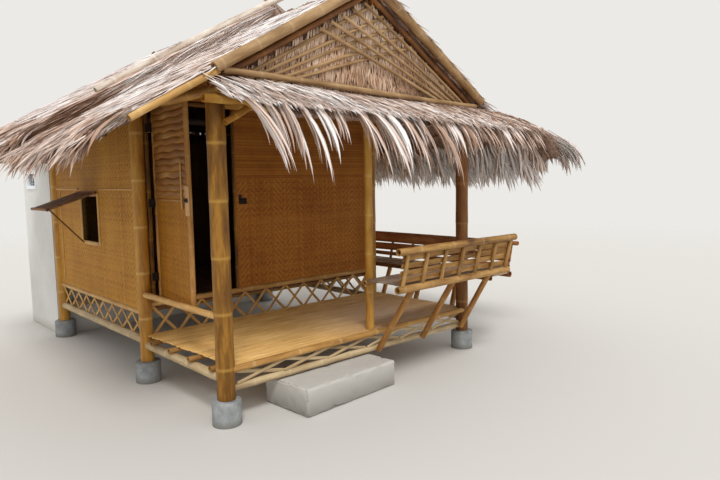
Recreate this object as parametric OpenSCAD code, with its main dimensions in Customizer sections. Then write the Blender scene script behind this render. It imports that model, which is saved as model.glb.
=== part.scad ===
// Bamboo stilt house: a matted room and an open porch on posts, under a thatched gable roof,
// with a hinged door leaf, a propped shutter, two leaning benches, a step and a masonry annex.
// The origin is under the front left post at ground level: +X runs along the porch front,
// +Y runs back to the annex and +Z is up. Lengths are in millimetres.

/* [Frame] */
// Distance between the left and right post rows
frame_w = 2700; // [2500:10:2900]
// Distance from the porch posts back to the front wall of the room
porch_depth = 1300; // [1200:10:1400]
// Distance from the front wall to the rear wall of the room
room_depth = 2200; // [2000:10:2400]
// Clearance left where two pieces are seated on each other
seat = 0.3; // [0.1:0.1:0.5]

/* [Posts] */
// Diameter of the front left porch post
porch_post_d = 130; // [115:1:145]
// Diameter of the front right porch post
right_post_d = 120; // [110:1:130]
// Diameter of the four room posts
room_post_d = 110; // [100:1:120]
// Diameter of the slim post on the deck
slim_post_d = 70; // [60:1:80]
// Distance of the slim post from the left post row
slim_post_x = 1440; // [1380:5:1500]
// Distance of the slim post behind the line of the porch posts
slim_post_y = 25; // [15:1:35]
// Spacing of the node rings on the slim post
slim_ring_gap = 330; // [300:5:360]
// Height of the lowest node ring of the front left post
ring_first = 400; // [385:5:430]
// Spacing of the node rings on the posts
ring_gap = 390; // [360:5:420]
// Difference in height of the rings from one post to the next
ring_shift = 75; // [60:5:90]
// How far the node rings stand out from the posts
ring_out = 3; // [2:0.5:4]
// Radius of the rounding of the node rings
ring_r = 9; // [8:0.5:12]
// Diameter of the concrete footings
footing_d = 210; // [180:5:240]
// Height of the concrete footings
footing_h = 180; // [160:5:190]

/* [Base and deck] */
// Height of the deck surface above the ground
deck_top = 410; // [400:5:430]
// Thickness of the split bamboo deck mat
deck_t = 12; // [10:1:16]
// Diameter of the deck joists
joist_d = 45; // [40:1:50]
// Number of deck joists
joist_count = 4; // [3:1:5]
// How far the joist ends stand out past the post rows
joist_overhang = 50; // [30:5:60]
// Diameter of the lower side beams
low_beam_d = 70; // [60:1:76]
// Height of the lower beams under the room
room_beam_z = 350; // [340:5:360]
// Diameter of the low front beam
front_beam_d = 55; // [50:1:56]
// Height of the low front beam
front_beam_z = 245; // [243:1:255]
// Diameter of the light pole along the deck edge
edge_pole_d = 50; // [44:1:54]
// Diameter of the porch handrail
handrail_d = 50; // [44:1:52]
// Height of the porch handrail
handrail_z = 758; // [740:2:775]
// Distance of the handrail outside the post line
handrail_out = 10; // [8:1:14]
// Width of the split bamboo strips in the base lattices
strip_w = 28; // [24:1:30]
// Thickness of the base lattices
strip_t = 12; // [10:1:14]
// Length of one crossing in the base lattices
lattice_pitch = 230; // [200:5:260]
// Length of one crossing in the lattice under the deck edge
edge_lattice_pitch = 400; // [360:5:440]

/* [Room] */
// Thickness of the matted walls
wall_t = 40; // [34:1:44]
// Diameter of the rails under the walls
rail_d = 50; // [44:1:54]
// Height of the rails under the walls
rail_z = 590; // [580:2:600]
// Height of the sill pole under the front wall
sill_z = 665; // [660:1:672]
// Thickness of the room floor
floor_t = 25; // [20:1:30]
// Number of joists under the room floor
floor_joist_count = 4; // [3:1:5]
// Diameter of the jamb pole that carries the door
hinge_jamb_d = 44; // [40:1:46]
// Diameter of the jamb pole on the latch side
latch_jamb_d = 40; // [36:1:42]
// Height of the underside of the door header
header_z = 2366; // [2350:2:2376]
// Diameter of the door header
header_d = 44; // [40:1:46]
// Width of the light battens on the side walls
batten_w = 20; // [16:1:26]
// Thickness of the light battens on the side walls
batten_t = 10; // [8:1:12]
// Height of the long batten on the side walls
batten_z = 1640; // [1620:5:1680]
// Distance of the batten ends from the posts and from the shutter
batten_gap = 8; // [5:1:20]
// Distance of the upright batten in front of the rear posts
seam_in = 200; // [160:5:240]

/* [Door] */
// Width of the door leaf
leaf_w = 780; // [740:5:790]
// Thickness of the door leaf frame poles
leaf_t = 40; // [36:1:42]
// Thickness of the woven door panel
leaf_panel_t = 14; // [10:1:18]
// Diameter of the middle rail of the door leaf
mid_rail_d = 28; // [24:1:32]
// Height of the middle rail of the door leaf
mid_rail_z = 1560; // [1500:5:1620]
// Gap between the door leaf and the sill below it
leaf_gap_low = 15; // [10:1:25]
// Gap between the door leaf and the header above it
leaf_gap_high = 11; // [8:1:20]
// Gap between the door leaf and the latch jamb
leaf_gap_side = 8; // [6:1:12]
// Angle by which the door stands open
open_angle = 96.5; // [85:0.5:96.5]
// Radius of the hinge barrels
barrel_r = 6; // [5:0.5:6]
// Radius of the hinge pins
pin_r = 3; // [2.5:0.5:3]
// Radial clearance of the hinge pins
pin_fit = 0.08; // [0.05:0.01:0.1]
// Height of each hinge
hinge_h = 70; // [60:2:80]
// Gap between two knuckles of a hinge
knuckle_gap = 0.4; // [0.3:0.1:0.5]
// Height of the lowest hinge
low_hinge_z = 900; // [860:10:940]
// Height of the highest hinge
high_hinge_z = 2160; // [2120:10:2200]
// Length of each hinge flap
flap_l = 38; // [34:1:42]
// Thickness of each hinge flap
flap_t = 2.5; // [2:0.1:2.8]
// Length of the wooden latch plate
latch_h = 225; // [200:5:250]
// Width of the wooden latch plate
latch_w = 60; // [52:1:64]
// Thickness of the wooden latch plate
latch_t = 11; // [9:1:11]
// Height of the middle of the latch plate
latch_z = 1562; // [1540:2:1580]
// Distance the latch plate stands past the free edge
latch_out = 36; // [30:1:40]
// Size of the dark hasp plate beside the latch
hasp_w = 34; // [28:1:40]
// Thickness of the hasp plate
hasp_t = 3; // [2:0.5:4]
// Distance of the hasp plate from the latch jamb
hasp_in = 8; // [5:1:15]

/* [Window] */
// Width of the window opening
window_w = 430; // [380:5:480]
// Height of the window opening
window_h = 440; // [400:5:480]
// Height of the window sill
window_z = 1140; // [1100:5:1160]
// Distance of the window behind the front wall
window_y = 925; // [880:5:960]
// Width of the window trim
trim_w = 35; // [30:1:40]
// Thickness of the window trim
trim_t = 12; // [10:1:14]
// Length of the top hung shutter
shutter_l = 450; // [420:5:480]
// Thickness of the shutter
shutter_t = 24; // [20:1:28]
// How far the shutter runs past the sides of the opening
shutter_side = 30; // [20:2:40]
// Diameter of the pole at the top of the shutter
shutter_pole_d = 26; // [24:1:30]
// Angle of the propped shutter below level
shutter_angle = 19; // [14:1:24]
// Diameter of the prop stick
prop_d = 16; // [12:1:20]

/* [Roof] */
// Height of the side plates that carry the rafters
plate_z = 2310; // [2300:2:2330]
// Pitch of the roof
roof_pitch = 30; // [29:0.5:31]
// Distance of the eaves outside the post rows
eave_out = 900; // [850:10:940]
// Thickness of the thatch over the porch
thatch_t = 50; // [44:1:56]
// Extra thickness of the second thatch layer over the room
layer_t = 70; // [60:1:80]
// Diameter of the battens under the thatch
purlin_d = 25; // [22:1:28]
// Number of battens on each slope
purlin_count = 7; // [6:1:8]
// Diameter of the rafters
rafter_d = 45; // [40:1:50]
// Distance of the rafter ends inside the eave
rafter_in = 42; // [38:2:60]
// Number of rafter pairs
rafter_count = 7; // [7:1:7]
// Diameter of the side plates and of the ridge pole
plate_d = 70; // [64:1:74]
// How far the front plate runs past the post rows
plate_over = 140; // [120:5:145]
// Distance of the side plates outside the post rows
plate_out = 20; // [20:1:26]
// Diameter of the front plate and of the tie beams
tie_d = 62; // [56:1:66]
// Diameter of the knee braces
brace_d = 45; // [40:1:48]
// Reach of the knee braces along the front plate
brace_reach = 275; // [250:5:300]
// Drop of the knee braces below the middle of the front plate
brace_drop = 150; // [140:5:170]
// Diameter of the king posts
king_d = 60; // [54:1:64]
// Number of overlapping thatch courses on each slope
course_count = 10; // [8:1:12]
// Height that each thatch course stands over the next one
course_dip = 30; // [20:1:35]
// Thickness of the hanging fringe at the eaves
fringe_t = 36; // [30:1:40]
// How far the fringe swings out past the eave
fringe_out = 150; // [130:5:165]
// Drop of the fringe at the left eave
left_drop = 200; // [185:5:215]
// Drop of the fringe at the right eave
right_drop = 340; // [320:5:355]
// Diameter of the long poles laid on the roof
roof_pole_d = 60; // [54:1:64]
// Length of the roof pole ends that cross over the ridge
crossing_l = 110; // [90:5:150]

/* [Gables and awning] */
// Thickness of the palm leaf infill in the gables
infill_t = 28; // [24:1:32]
// Diameter of the slim lattice poles on the front gable
gable_stick_d = 25; // [20:1:28]
// Number of lattice poles in each direction
gable_stick_count = 5; // [4:1:5]
// Distance of the outermost lattice pole foot from the middle of the gable
gable_fan_foot = 1240; // [1200:5:1260]
// Step between the feet of the lattice poles
gable_foot_step = 82; // [76:1:88]
// Distance of the first lattice pole head past the middle of the gable
gable_fan_head = 60; // [50:5:70]
// Step between the heads of the lattice poles
gable_head_step = 115; // [105:1:120]
// Diameter of the verge poles
verge_d = 80; // [72:1:84]
// Diameter of the pole along the gable base
base_pole_d = 44; // [38:1:48]
// How far the rear verge poles run past the post rows
rear_verge_over = 200; // [150:10:260]
// Pitch of the front awning
awning_pitch = 25; // [23:1:27]
// Distance of the awning eave in front of the porch posts
awning_out = 560; // [520:5:580]
// Thickness of the awning thatch measured upright
awning_t = 90; // [80:1:95]
// Number of courses on the awning
awning_courses = 3; // [2:1:4]
// Height that each awning course stands over the next one
awning_dip = 20; // [12:1:24]
// Drop of the awning fringe
awning_drop = 340; // [320:5:355]
// Diameter of the awning rafters
awning_rafter_d = 30; // [26:1:34]
// Number of awning rafters
awning_rafter_count = 6; // [5:1:7]

/* [Benches] */
// Diameter of the outer seat rails and of the top rail
bench_rail_d = 60; // [54:1:64]
// Diameter of the inner seat rails
inner_rail_d = 45; // [40:1:48]
// Height of the outer seat rail of the front bench
seat_rail_z = 840; // [820:5:860]
// Distance of the front bench rail in front of the posts
bench_out = 500; // [470:5:520]
// Left end of the front bench
bench_x0 = 1230; // [1200:5:1260]
// Right end of the front bench past the right post row
bench_over = 45; // [30:5:60]
// Height of the bench backs above their seat rails
back_h = 310; // [290:5:330]
// Lean of the bench backs outwards at the top
back_lean = 75; // [60:5:90]
// Diameter of the uprights in the bench backs
upright_d = 34; // [28:1:38]
// Number of uprights in each bench back
upright_count = 7; // [5:1:8]
// Number of slats in the front bench back
slat_count = 4; // [3:1:5]
// Width of the back slats
slat_w = 50; // [44:1:54]
// Thickness of the back slats
slat_t = 10; // [8:1:12]
// Gap between two back slats
slat_gap = 13; // [9:1:15]
// Width of the two boards in the back of the side bench
side_board_w = 80; // [70:1:86]
// Gap between the two boards
side_board_gap = 8; // [5:1:12]
// Height of the low pole in the back of the side bench above its seat rail
low_pole_up = 77; // [66:1:84]
// Number of planks in the front seat
plank_count = 4; // [3:1:5]
// Gap between two seat planks
plank_gap = 8; // [5:1:12]
// Thickness of the seat planks
plank_t = 18; // [14:1:22]
// Diameter of the bearers under the seats
bearer_d = 30; // [26:1:34]
// Number of bearers and struts under each seat
bearer_count = 3; // [3:1:4]
// Diameter of the slanted struts
strut_d = 52; // [46:1:54]
// Distance of the side bench rail outside the right post row
side_bench_out = 400; // [370:5:420]
// Front end of the side bench in front of the posts
side_bench_front = 330; // [300:5:350]
// Length of the side bench past the front wall of the room
side_bench_back = 480; // [450:5:500]
// Drop of the side bench below the front bench
side_bench_low = 115; // [105:5:125]

/* [Step and annex] */
// Width of the concrete step block
step_w = 960; // [900:10:1000]
// Depth of the concrete step block
step_depth = 500; // [460:10:520]
// Height of the concrete step block
step_h = 208; // [190:1:212]
// Left end of the step block
step_x = 455; // [430:5:500]
// Distance of the step block in front of the posts
step_out = 345; // [320:5:370]
// Turn of the step block
step_turn = 3; // [0:0.5:4]
// Depth of the masonry annex
annex_depth = 1030; // [980:10:1080]
// Distance of the annex roof slab below the side plates
annex_drop = 95; // [70:5:150]
// Thickness of the annex walls
annex_t = 100; // [90:5:120]
// Distance of the annex behind the rear posts
annex_gap = 15; // [10:1:30]
// Distance of the annex sides outside the post rows
annex_side = 50; // [30:5:70]
// Thickness of the annex floor slab
annex_floor_t = 150; // [120:5:160]
// Thickness of the annex roof slab
annex_slab_t = 80; // [70:5:85]
// Overhang of the annex roof slab
annex_over = 60; // [40:5:80]
// Width of the annex window opening
vent_w = 400; // [360:5:440]
// Height of the annex window opening
vent_h = 220; // [200:5:240]
// Distance of the annex window below the roof slab
vent_down = 230; // [180:5:280]
// Distance of the annex window behind the middle of the side wall
vent_back = 165; // [100:5:200]
// Width of the white frame round the annex window
vent_frame = 40; // [34:1:46]
// Number of glass louvres in the annex window
louvre_count = 4; // [3:1:5]
// Thickness of the glass louvres
louvre_t = 6; // [5:1:8]

/* [Hidden] */

// Round poles are true cylinders
pole_sides = 24;
// A length that is longer than any piece, for cutting
far = 6000;
bamboo = "#b8863b";
light_bamboo = "#cfa35c";
dark_bamboo = "#7a4a22";
mat_colour = "#a8762f";
thatch_colour = "#b9a08a";
concrete = "#cfcfca";

front_y = 0;
wall_y = porch_depth;
rear_y = porch_depth + room_depth;
mid_x = frame_w / 2;
porch_post_r = porch_post_d / 2;
right_post_r = right_post_d / 2;
room_post_r = room_post_d / 2;

// Height of the lowest node ring of each post
function first_ring(i) = ring_first + (i * ring_shift) % (ring_gap / 2);

// Base levels
joist_z = deck_top - deck_t - seat - joist_d / 2;
porch_beam_z = joist_z - joist_d / 2 - seat - low_beam_d / 2;
edge_pole_y = -edge_pole_d / 2 - 3;
edge_pole_z = deck_top - edge_pole_d / 2 + 3;
rail_top = rail_z + rail_d / 2;
wall_base = rail_top + seat;
floor_top = rail_top + seat + floor_t;
sill_top = sill_z + rail_d / 2;

// Roof planes: n is the depth below the top of the porch thatch, square to the slope
function roof_z(u, n) = ridge_z - tan(roof_pitch) * u - n / cos(roof_pitch);
purlin_n = thatch_t + seat + purlin_d / 2;
rafter_n = thatch_t + purlin_d + 2 * seat + rafter_d / 2;
plate_n = rafter_n + rafter_d / 2 + seat + plate_d / 2;
ridge_z = plate_z + tan(roof_pitch) * (mid_x + plate_out) + plate_n / cos(roof_pitch);
plate_low = plate_z - plate_d / 2;
tie_z = plate_low - seat - tie_d / 2;
front_plate_y = -porch_post_r - seat - tie_d / 2;
front_tie_y = wall_y + room_post_r + seat + tie_d / 2;
rear_tie_y = rear_y - room_post_r - seat - tie_d / 2;
porch_tie_z = tie_z - 20;
eave_u = mid_x + eave_out;
fringe_bend = 0.6;
fringe_fall = 0.3;
gable_y = front_plate_y;
roof_front_y = gable_y - rafter_d / 2 - 3;
roof_rear_y = rear_y + 150;
rear_gable_y = roof_rear_y - rafter_d / 2 - 3;
layer_y = wall_y - 150;
rafter_gap = (rear_gable_y - gable_y) / (rafter_count - 1);
purlin_gap = (eave_u - 250) / (purlin_count - 1);

// Gable sticks lie in two layers in front of the infill
infill_y = gable_y + rafter_d / 2 + seat;
stick_back_y = infill_y - seat - gable_stick_d / 2;
stick_front_y = stick_back_y - gable_stick_d - seat;
verge_y = roof_front_y - seat - verge_d / 2;
base_pole_y = stick_front_y - gable_stick_d / 2 - seat - base_pole_d / 2;
infill_low = plate_z + plate_d / 2 + 5;

// Awning section, worked out from the front plate that carries it
awning_rafter_r = awning_rafter_d / 2;
awning_line = tie_z + (tie_d / 2 + awning_rafter_r + seat) / cos(awning_pitch);
function awning_rafter_z(y) = awning_line + tan(awning_pitch) * (y - front_plate_y);
function awning_low(y) = awning_rafter_z(y) + (awning_rafter_r + seat) / cos(awning_pitch);
function awning_top(y) = awning_low(y) + awning_t;
function hip_x(y) = mid_x + (ridge_z - awning_top(y)) / tan(roof_pitch);
awning_back_y = base_pole_y;
awning_left = -190;
base_pole_z = awning_top(awning_back_y) + base_pole_d / 2 + seat;

// Door places
jamb_x = room_post_r + seat + hinge_jamb_d / 2;
hinge_x = jamb_x + hinge_jamb_d / 2 + barrel_r;
flap_v = wall_y - hinge_jamb_d / 2 - seat;
hinge_y = flap_v - barrel_r + seat;
leaf_x0 = 4;
leaf_v0 = barrel_r;
leaf_z0 = sill_top + leaf_gap_low;
leaf_z1 = header_z - leaf_gap_high;
latch_jamb_x = hinge_x + leaf_x0 + leaf_w + leaf_gap_side + latch_jamb_d / 2;
hinge_levels = [low_hinge_z, (leaf_z0 + leaf_z1) / 2, high_hinge_z];
knuckle_h = hinge_h / 3;
hasp_x = latch_jamb_x + latch_jamb_d / 2 + hasp_in;
hasp_y = wall_y - wall_t / 2 - seat;

// Window places
window_y0 = wall_y + window_y;
trim_face = -wall_t / 2 - seat;
shutter_x = trim_face - trim_t - seat - shutter_pole_d / 2;
shutter_z = window_z + window_h + trim_w / 2 + 20;

// Bench places
inner_rail_y = slim_post_y - slim_post_d / 2 - seat - inner_rail_d / 2;
inner_rail_z = seat_rail_z - 5;
bench_x1 = frame_w + bench_over;
seat_x0 = bench_x0 + 90;
seat_x1 = frame_w + 50;
side_rail_x = frame_w + side_bench_out;
side_inner_x = frame_w + right_post_r + seat + inner_rail_d / 2;
side_rail_z = seat_rail_z - side_bench_low;
side_inner_z = side_rail_z - 5;
side_y1 = wall_y + side_bench_back;
side_top_d = bench_rail_d - 15;
low_pole_in = upright_d / 2 + seat + side_top_d / 2;

// Annex places
annex_y0 = rear_y + room_post_r + annex_gap;
annex_y1 = annex_y0 + annex_depth;
annex_x0 = -annex_side;
annex_x1 = frame_w + annex_side;
annex_h = plate_low - annex_drop - annex_slab_t;
vent_y0 = (annex_y0 + annex_y1) / 2 - vent_w / 2 + vent_back;
vent_z = annex_h - vent_down - vent_h;

// A round pole from one point to another
module pole(from, to, d) {
    v = to - from;
    translate(from)
        rotate([0, acos(v[2] / norm(v)), atan2(v[1], v[0])])
            cylinder(h = norm(v), d = d, $fn = pole_sides);
}

// A pole along one of the axes
module pole_x(x0, x1, y, z, d) { pole([x0, y, z], [x1, y, z], d); }
module pole_y(x, y0, y1, z, d) { pole([x, y0, z], [x, y1, z], d); }
module pole_z(x, y, z0, z1, d) { translate([x, y, z0]) cylinder(h = z1 - z0, d = d, $fn = pole_sides); }

// A box between two corners
module box(low, high) { translate(low) cube(high - low); }

// An outline drawn in x and z, made solid between two y values
module upright_slab(y0, y1) {
    translate([0, y1, 0]) rotate([90, 0, 0]) linear_extrude(y1 - y0) children();
}

// An outline drawn in y and z, made solid between two x values
module cross_slab(x0, x1) {
    translate([x0, 0, 0]) rotate([90, 0, 90]) linear_extrude(x1 - x0) children();
}

// An upright bamboo culm with its rounded node rings, grown by a clearance
module culm(x, y, z0, z1, d, gap, first, grow) {
    pole_z(x, y, z0, z1, d + 2 * grow);
    for (z = [first : gap : plate_low - ring_r])
        translate([x, y, z])
            rotate_extrude($fn = 48)
                translate([d / 2 + ring_out - ring_r, 0]) circle(r = ring_r + grow, $fn = 24);
}

// The posts up to a height, grown by a clearance, also used to fit other pieces round them
module post_shapes(z0, z1, grow) {
    culm(0, front_y, z0, z1, porch_post_d, ring_gap, first_ring(0), grow);
    culm(frame_w, front_y, z0, z1, right_post_d, ring_gap, first_ring(1), grow);
    room_post_shapes(z0, z1, grow);
}

module room_post_shapes(z0, z1, grow) {
    for (i = [0, 1], j = [0, 1])
        culm(i * frame_w, wall_y + j * room_depth, z0, z1, room_post_d, ring_gap,
            first_ring(2 + i + 2 * j), grow);
}

module round_posts() { post_shapes(0, far, seat); }

module round_room_posts() { room_post_shapes(0, far, seat); }

// Pieces that others are fitted round
module plate_shapes(grow) {
    for (x = [-plate_out, frame_w + plate_out])
        pole_y(x, roof_front_y + 5, roof_rear_y - 5, plate_z, plate_d + 2 * grow);
}

module front_plate_shape(grow) {
    pole_x(-plate_over, frame_w + plate_over, front_plate_y, tie_z, tie_d + 2 * grow);
}

module room_tie_shapes(grow) {
    for (y = [front_tie_y, rear_tie_y])
        pole_x(-plate_out - plate_d, frame_w + plate_out + plate_d, y, tie_z, tie_d + 2 * grow);
}

module ridge_shape(grow) {
    pole_y(mid_x, roof_front_y + 5, roof_rear_y - 5, roof_z(0, plate_n), plate_d + 2 * grow);
}

module footings() {
    color(concrete) {
        for (x = [0, frame_w], y = [front_y, wall_y, rear_y])
            translate([x, y, 0]) cylinder(h = footing_h, d = footing_d, $fn = 48);
    }
}

module porch_posts() {
    color(bamboo)
        difference() {
            union() {
                culm(0, front_y, footing_h, plate_z, porch_post_d, ring_gap, first_ring(0), 0);
                culm(frame_w, front_y, footing_h, plate_z, right_post_d, ring_gap, first_ring(1), 0);
            }
            plate_shapes(seat);
        }
}

module room_posts() {
    color(bamboo)
        difference() {
            room_post_shapes(footing_h, plate_z, 0);
            plate_shapes(seat);
        }
}

module slim_post() {
    color(light_bamboo)
        difference() {
            culm(slim_post_x, slim_post_y, deck_top, porch_tie_z, slim_post_d, slim_ring_gap,
                deck_top + slim_ring_gap, 0);
            pole_x(0, frame_w, front_y, porch_tie_z, tie_d + 2 * seat);
        }
}

// Beams near the ground, with hollowed ends that fit round the posts
module lower_beams() {
    color(bamboo)
        difference() {
            union() {
                for (x = [0, frame_w]) {
                    pole_y(x, front_y, wall_y, porch_beam_z, low_beam_d);
                    pole_y(x, wall_y, rear_y, room_beam_z, low_beam_d);
                }
                pole_x(0, frame_w, wall_y, room_beam_z, low_beam_d);
                pole_x(0, frame_w, rear_y, room_beam_z, low_beam_d);
                pole_x(0, frame_w, front_y, front_beam_z, front_beam_d);
            }
            round_posts();
        }
}

module deck_joists() {
    joist_step = (wall_y - 330) / (joist_count - 1);
    color(bamboo)
        difference() {
            union() {
                for (i = [0 : joist_count - 1])
                    pole_x(-joist_overhang, frame_w + joist_overhang, 130 + i * joist_step, joist_z,
                        joist_d);
                pole_x(0, frame_w, edge_pole_y, edge_pole_z, edge_pole_d);
            }
            round_posts();
        }
}

module deck_mat() {
    color(light_bamboo)
        difference() {
            box([-15, -2, deck_top - deck_t], [frame_w + 15, wall_y - strip_t / 2 - seat, deck_top]);
            round_posts();
        }
}

module handrail() {
    color(bamboo)
        difference() {
            pole_y(-handrail_out, front_y, wall_y, handrail_z, handrail_d);
            round_posts();
        }
}

// One flat lattice of crossing split strips, drawn in x and y and made thick; its strips meet
// just outside the height that is kept
module strip_lattice(length, height, pitch, w, t) {
    count = max(1, round(length / pitch));
    step = length / count;
    full_height = height + w / 2;
    angle = atan2(full_height, step);
    reach = norm([step, full_height]) + 4 * w;
    linear_extrude(t)
        intersection() {
            square([length, height]);
            for (i = [0 : count - 1], lean = [-1, 1])
                translate([(i + 0.5) * step, height / 2])
                    rotate(lean * angle) square([reach, w], center = true);
        }
}

module side_lattices() {
    z0 = room_beam_z + low_beam_d / 2 + seat;
    z1 = rail_z - rail_d / 2 - seat;
    length = room_depth - room_post_d - 2 * seat;
    color(light_bamboo)
        difference() {
            for (x = [0, frame_w])
                translate([x - strip_t / 2, wall_y + room_post_r + seat, z0])
                    rotate([90, 0, 90]) strip_lattice(length, z1 - z0, lattice_pitch, strip_w, strip_t);
            round_room_posts();
        }
}

module front_lattices() {
    z0 = room_beam_z + low_beam_d / 2 + seat;
    z1 = sill_z - rail_d / 2 - seat;
    length = frame_w - room_post_d - 2 * seat;
    low_z0 = front_beam_z + front_beam_d / 2 + seat;
    low_z1 = edge_pole_z - edge_pole_d / 2 - seat;
    low_length = frame_w - porch_post_r - right_post_r - 2 * seat;
    color(light_bamboo)
        difference() {
            union() {
                translate([room_post_r + seat, wall_y + strip_t / 2, z0])
                    rotate([90, 0, 0]) strip_lattice(length, z1 - z0, lattice_pitch, strip_w, strip_t);
                translate([porch_post_r + seat, edge_pole_y / 2 + strip_t / 2, low_z0 - 1])
                    rotate([90, 0, 0])
                        strip_lattice(low_length, low_z1 - low_z0 + 1, edge_lattice_pitch, strip_w,
                            strip_t);
            }
            round_posts();
        }
}

// Rails under the walls, the sill pole of the front wall and the floor joists between them
module floor_rails() {
    joist_step = (room_depth - 300) / (floor_joist_count - 1);
    color(bamboo) {
        difference() {
            union() {
                for (x = [0, frame_w]) pole_y(x, wall_y, rear_y, rail_z, rail_d);
                pole_x(0, frame_w, rear_y, rail_z, rail_d);
                pole_x(0, frame_w, wall_y, sill_z, rail_d);
            }
            round_posts();
        }
        difference() {
            for (i = [0 : floor_joist_count - 1])
                pole_x(0, frame_w, wall_y + 150 + i * joist_step, rail_z, rail_d);
            for (x = [0, frame_w]) pole_y(x, wall_y, rear_y, rail_z, rail_d + 2 * seat);
        }
    }
}

module room_floor() {
    inset = wall_t / 2 + 1;
    color(light_bamboo)
        difference() {
            box([inset, wall_y + rail_d / 2 + 1, rail_top + seat],
                [frame_w - inset, rear_y - inset, floor_top]);
            round_room_posts();
        }
}

// A matted side wall between the room posts
module side_wall(x) {
    difference() {
        box([x - wall_t / 2, wall_y, wall_base], [x + wall_t / 2, rear_y, plate_low - seat]);
        round_room_posts();
        room_tie_shapes(seat);
    }
}

module left_wall() {
    color(mat_colour)
        difference() {
            side_wall(0);
            box([-wall_t, window_y0, window_z], [wall_t, window_y0 + window_w, window_z + window_h]);
        }
}

module right_wall() {
    color(mat_colour) side_wall(frame_w);
}

module rear_wall() {
    color(mat_colour)
        difference() {
            box([0, rear_y - wall_t / 2, wall_base], [frame_w, rear_y + wall_t / 2, tie_z + tie_d]);
            round_room_posts();
        }
}

module front_wall() {
    color(mat_colour)
        difference() {
            box([latch_jamb_x, wall_y - wall_t / 2, sill_top + seat],
                [frame_w, wall_y + wall_t / 2, header_z + header_d]);
            round_room_posts();
            pole_z(latch_jamb_x, wall_y, 0, far, latch_jamb_d + 2 * seat);
            plate_shapes(seat);
        }
}

// The upper part of the front wall, up to the underside of the roof
module front_gable_wall() {
    z0 = header_z + header_d + seat;
    low_u = mid_x - room_post_r - 5;
    n = thatch_t + purlin_d + 3 * seat;
    color(mat_colour)
        difference() {
            upright_slab(wall_y - wall_t / 2, wall_y + wall_t / 2)
                polygon([[mid_x - low_u, z0], [mid_x + low_u, z0], [mid_x + low_u, roof_z(low_u, n)],
                    [mid_x, roof_z(0, n)], [mid_x - low_u, roof_z(low_u, n)]]);
            ridge_shape(seat);
        }
}

// Jamb poles and the header that frame the doorway
module door_surround() {
    top = header_z + header_d;
    color(light_bamboo) {
        difference() {
            pole_z(jamb_x, wall_y, sill_top + seat, top, hinge_jamb_d);
            round_room_posts();
        }
        pole_z(latch_jamb_x, wall_y, sill_top + seat, top, latch_jamb_d);
        difference() {
            pole_x(jamb_x, latch_jamb_x, wall_y, header_z + header_d / 2, header_d);
            pole_z(jamb_x, wall_y, 0, far, hinge_jamb_d + 2 * seat);
            pole_z(latch_jamb_x, wall_y, 0, far, latch_jamb_d + 2 * seat);
        }
    }
}

// Light battens nailed over the mats of both side walls
module wall_battens() {
    y0 = wall_y + room_post_r + batten_gap;
    y1 = rear_y - room_post_r - batten_gap;
    seam_y = rear_y - seam_in;
    window_gap = trim_w + shutter_side + batten_gap;
    left_spans = [[y0, window_y0 - window_gap], [window_y0 + window_w + window_gap, y1]];
    color(light_bamboo)
        for (side = [0, 1]) translate([side * frame_w, 0, 0]) mirror([side, 0, 0]) {
            for (span = side == 0 ? left_spans : [[y0, y1]])
                box([trim_face - batten_t, span[0], batten_z], [trim_face, span[1], batten_z + batten_w]);
            box([trim_face - batten_t, seam_y, wall_base], [trim_face, seam_y + batten_w, batten_z - seat]);
        }
}

// Places a leaf drawn closed, with its hinge axis at the origin, where it stands open
module leaf_place() {
    translate([hinge_x, hinge_y, 0]) rotate([0, 0, -open_angle]) children();
}

// Flap, knuckles and pin of the fixed half of one hinge, and the dark hasp plate
module hinge_brackets() {
    color("#3c3a36") {
        for (z = hinge_levels) translate([hinge_x, hinge_y, z]) {
            difference() {
                union() {
                    for (low = [-hinge_h / 2, knuckle_h / 2])
                        translate([0, 0, low]) cylinder(h = knuckle_h, r = barrel_r, $fn = 32);
                    box([-flap_l, barrel_r - flap_t - seat, -hinge_h / 2], [0, barrel_r - seat, hinge_h / 2]);
                }
                translate([0, 0, -knuckle_h / 2 - knuckle_gap])
                    cylinder(h = knuckle_h + 2 * knuckle_gap, r = barrel_r + 2 * knuckle_gap, $fn = 32);
            }
            translate([0, 0, -hinge_h / 2]) cylinder(h = hinge_h, r = pin_r, $fn = 32);
        }
        box([hasp_x, hasp_y - hasp_t, latch_z - hasp_w], [hasp_x + hasp_w, hasp_y, latch_z + hasp_w / 2]);
    }
}

// The frame poles of the closed leaf, grown by a clearance
module leaf_poles(grow) {
    r = leaf_t / 2;
    v = leaf_v0 + r;
    for (x = [leaf_x0 + r, leaf_x0 + leaf_w - r]) pole_z(x, v, leaf_z0, leaf_z1, leaf_t + 2 * grow);
    difference() {
        union() {
            for (z = [leaf_z0 + r, leaf_z1 - r])
                pole_x(leaf_x0 + r, leaf_x0 + leaf_w - r, v, z, leaf_t + 2 * grow);
            pole_x(leaf_x0 + r, leaf_x0 + leaf_w - r, v, mid_rail_z, mid_rail_d + 2 * grow);
        }
        if (grow == 0)
            for (x = [leaf_x0 + r, leaf_x0 + leaf_w - r])
                pole_z(x, v, 0, far, leaf_t + 2 * seat);
    }
}

module door_frame() {
    color(light_bamboo) leaf_place() leaf_poles(0);
}

module door_panel() {
    r = leaf_t / 2;
    v = leaf_v0 + r;
    color(mat_colour)
        leaf_place()
            difference() {
                box([leaf_x0 + r, v - leaf_panel_t / 2, leaf_z0 + r],
                    [leaf_x0 + leaf_w - r, v + leaf_panel_t / 2, leaf_z1 - r]);
                leaf_poles(seat);
            }
}

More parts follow.
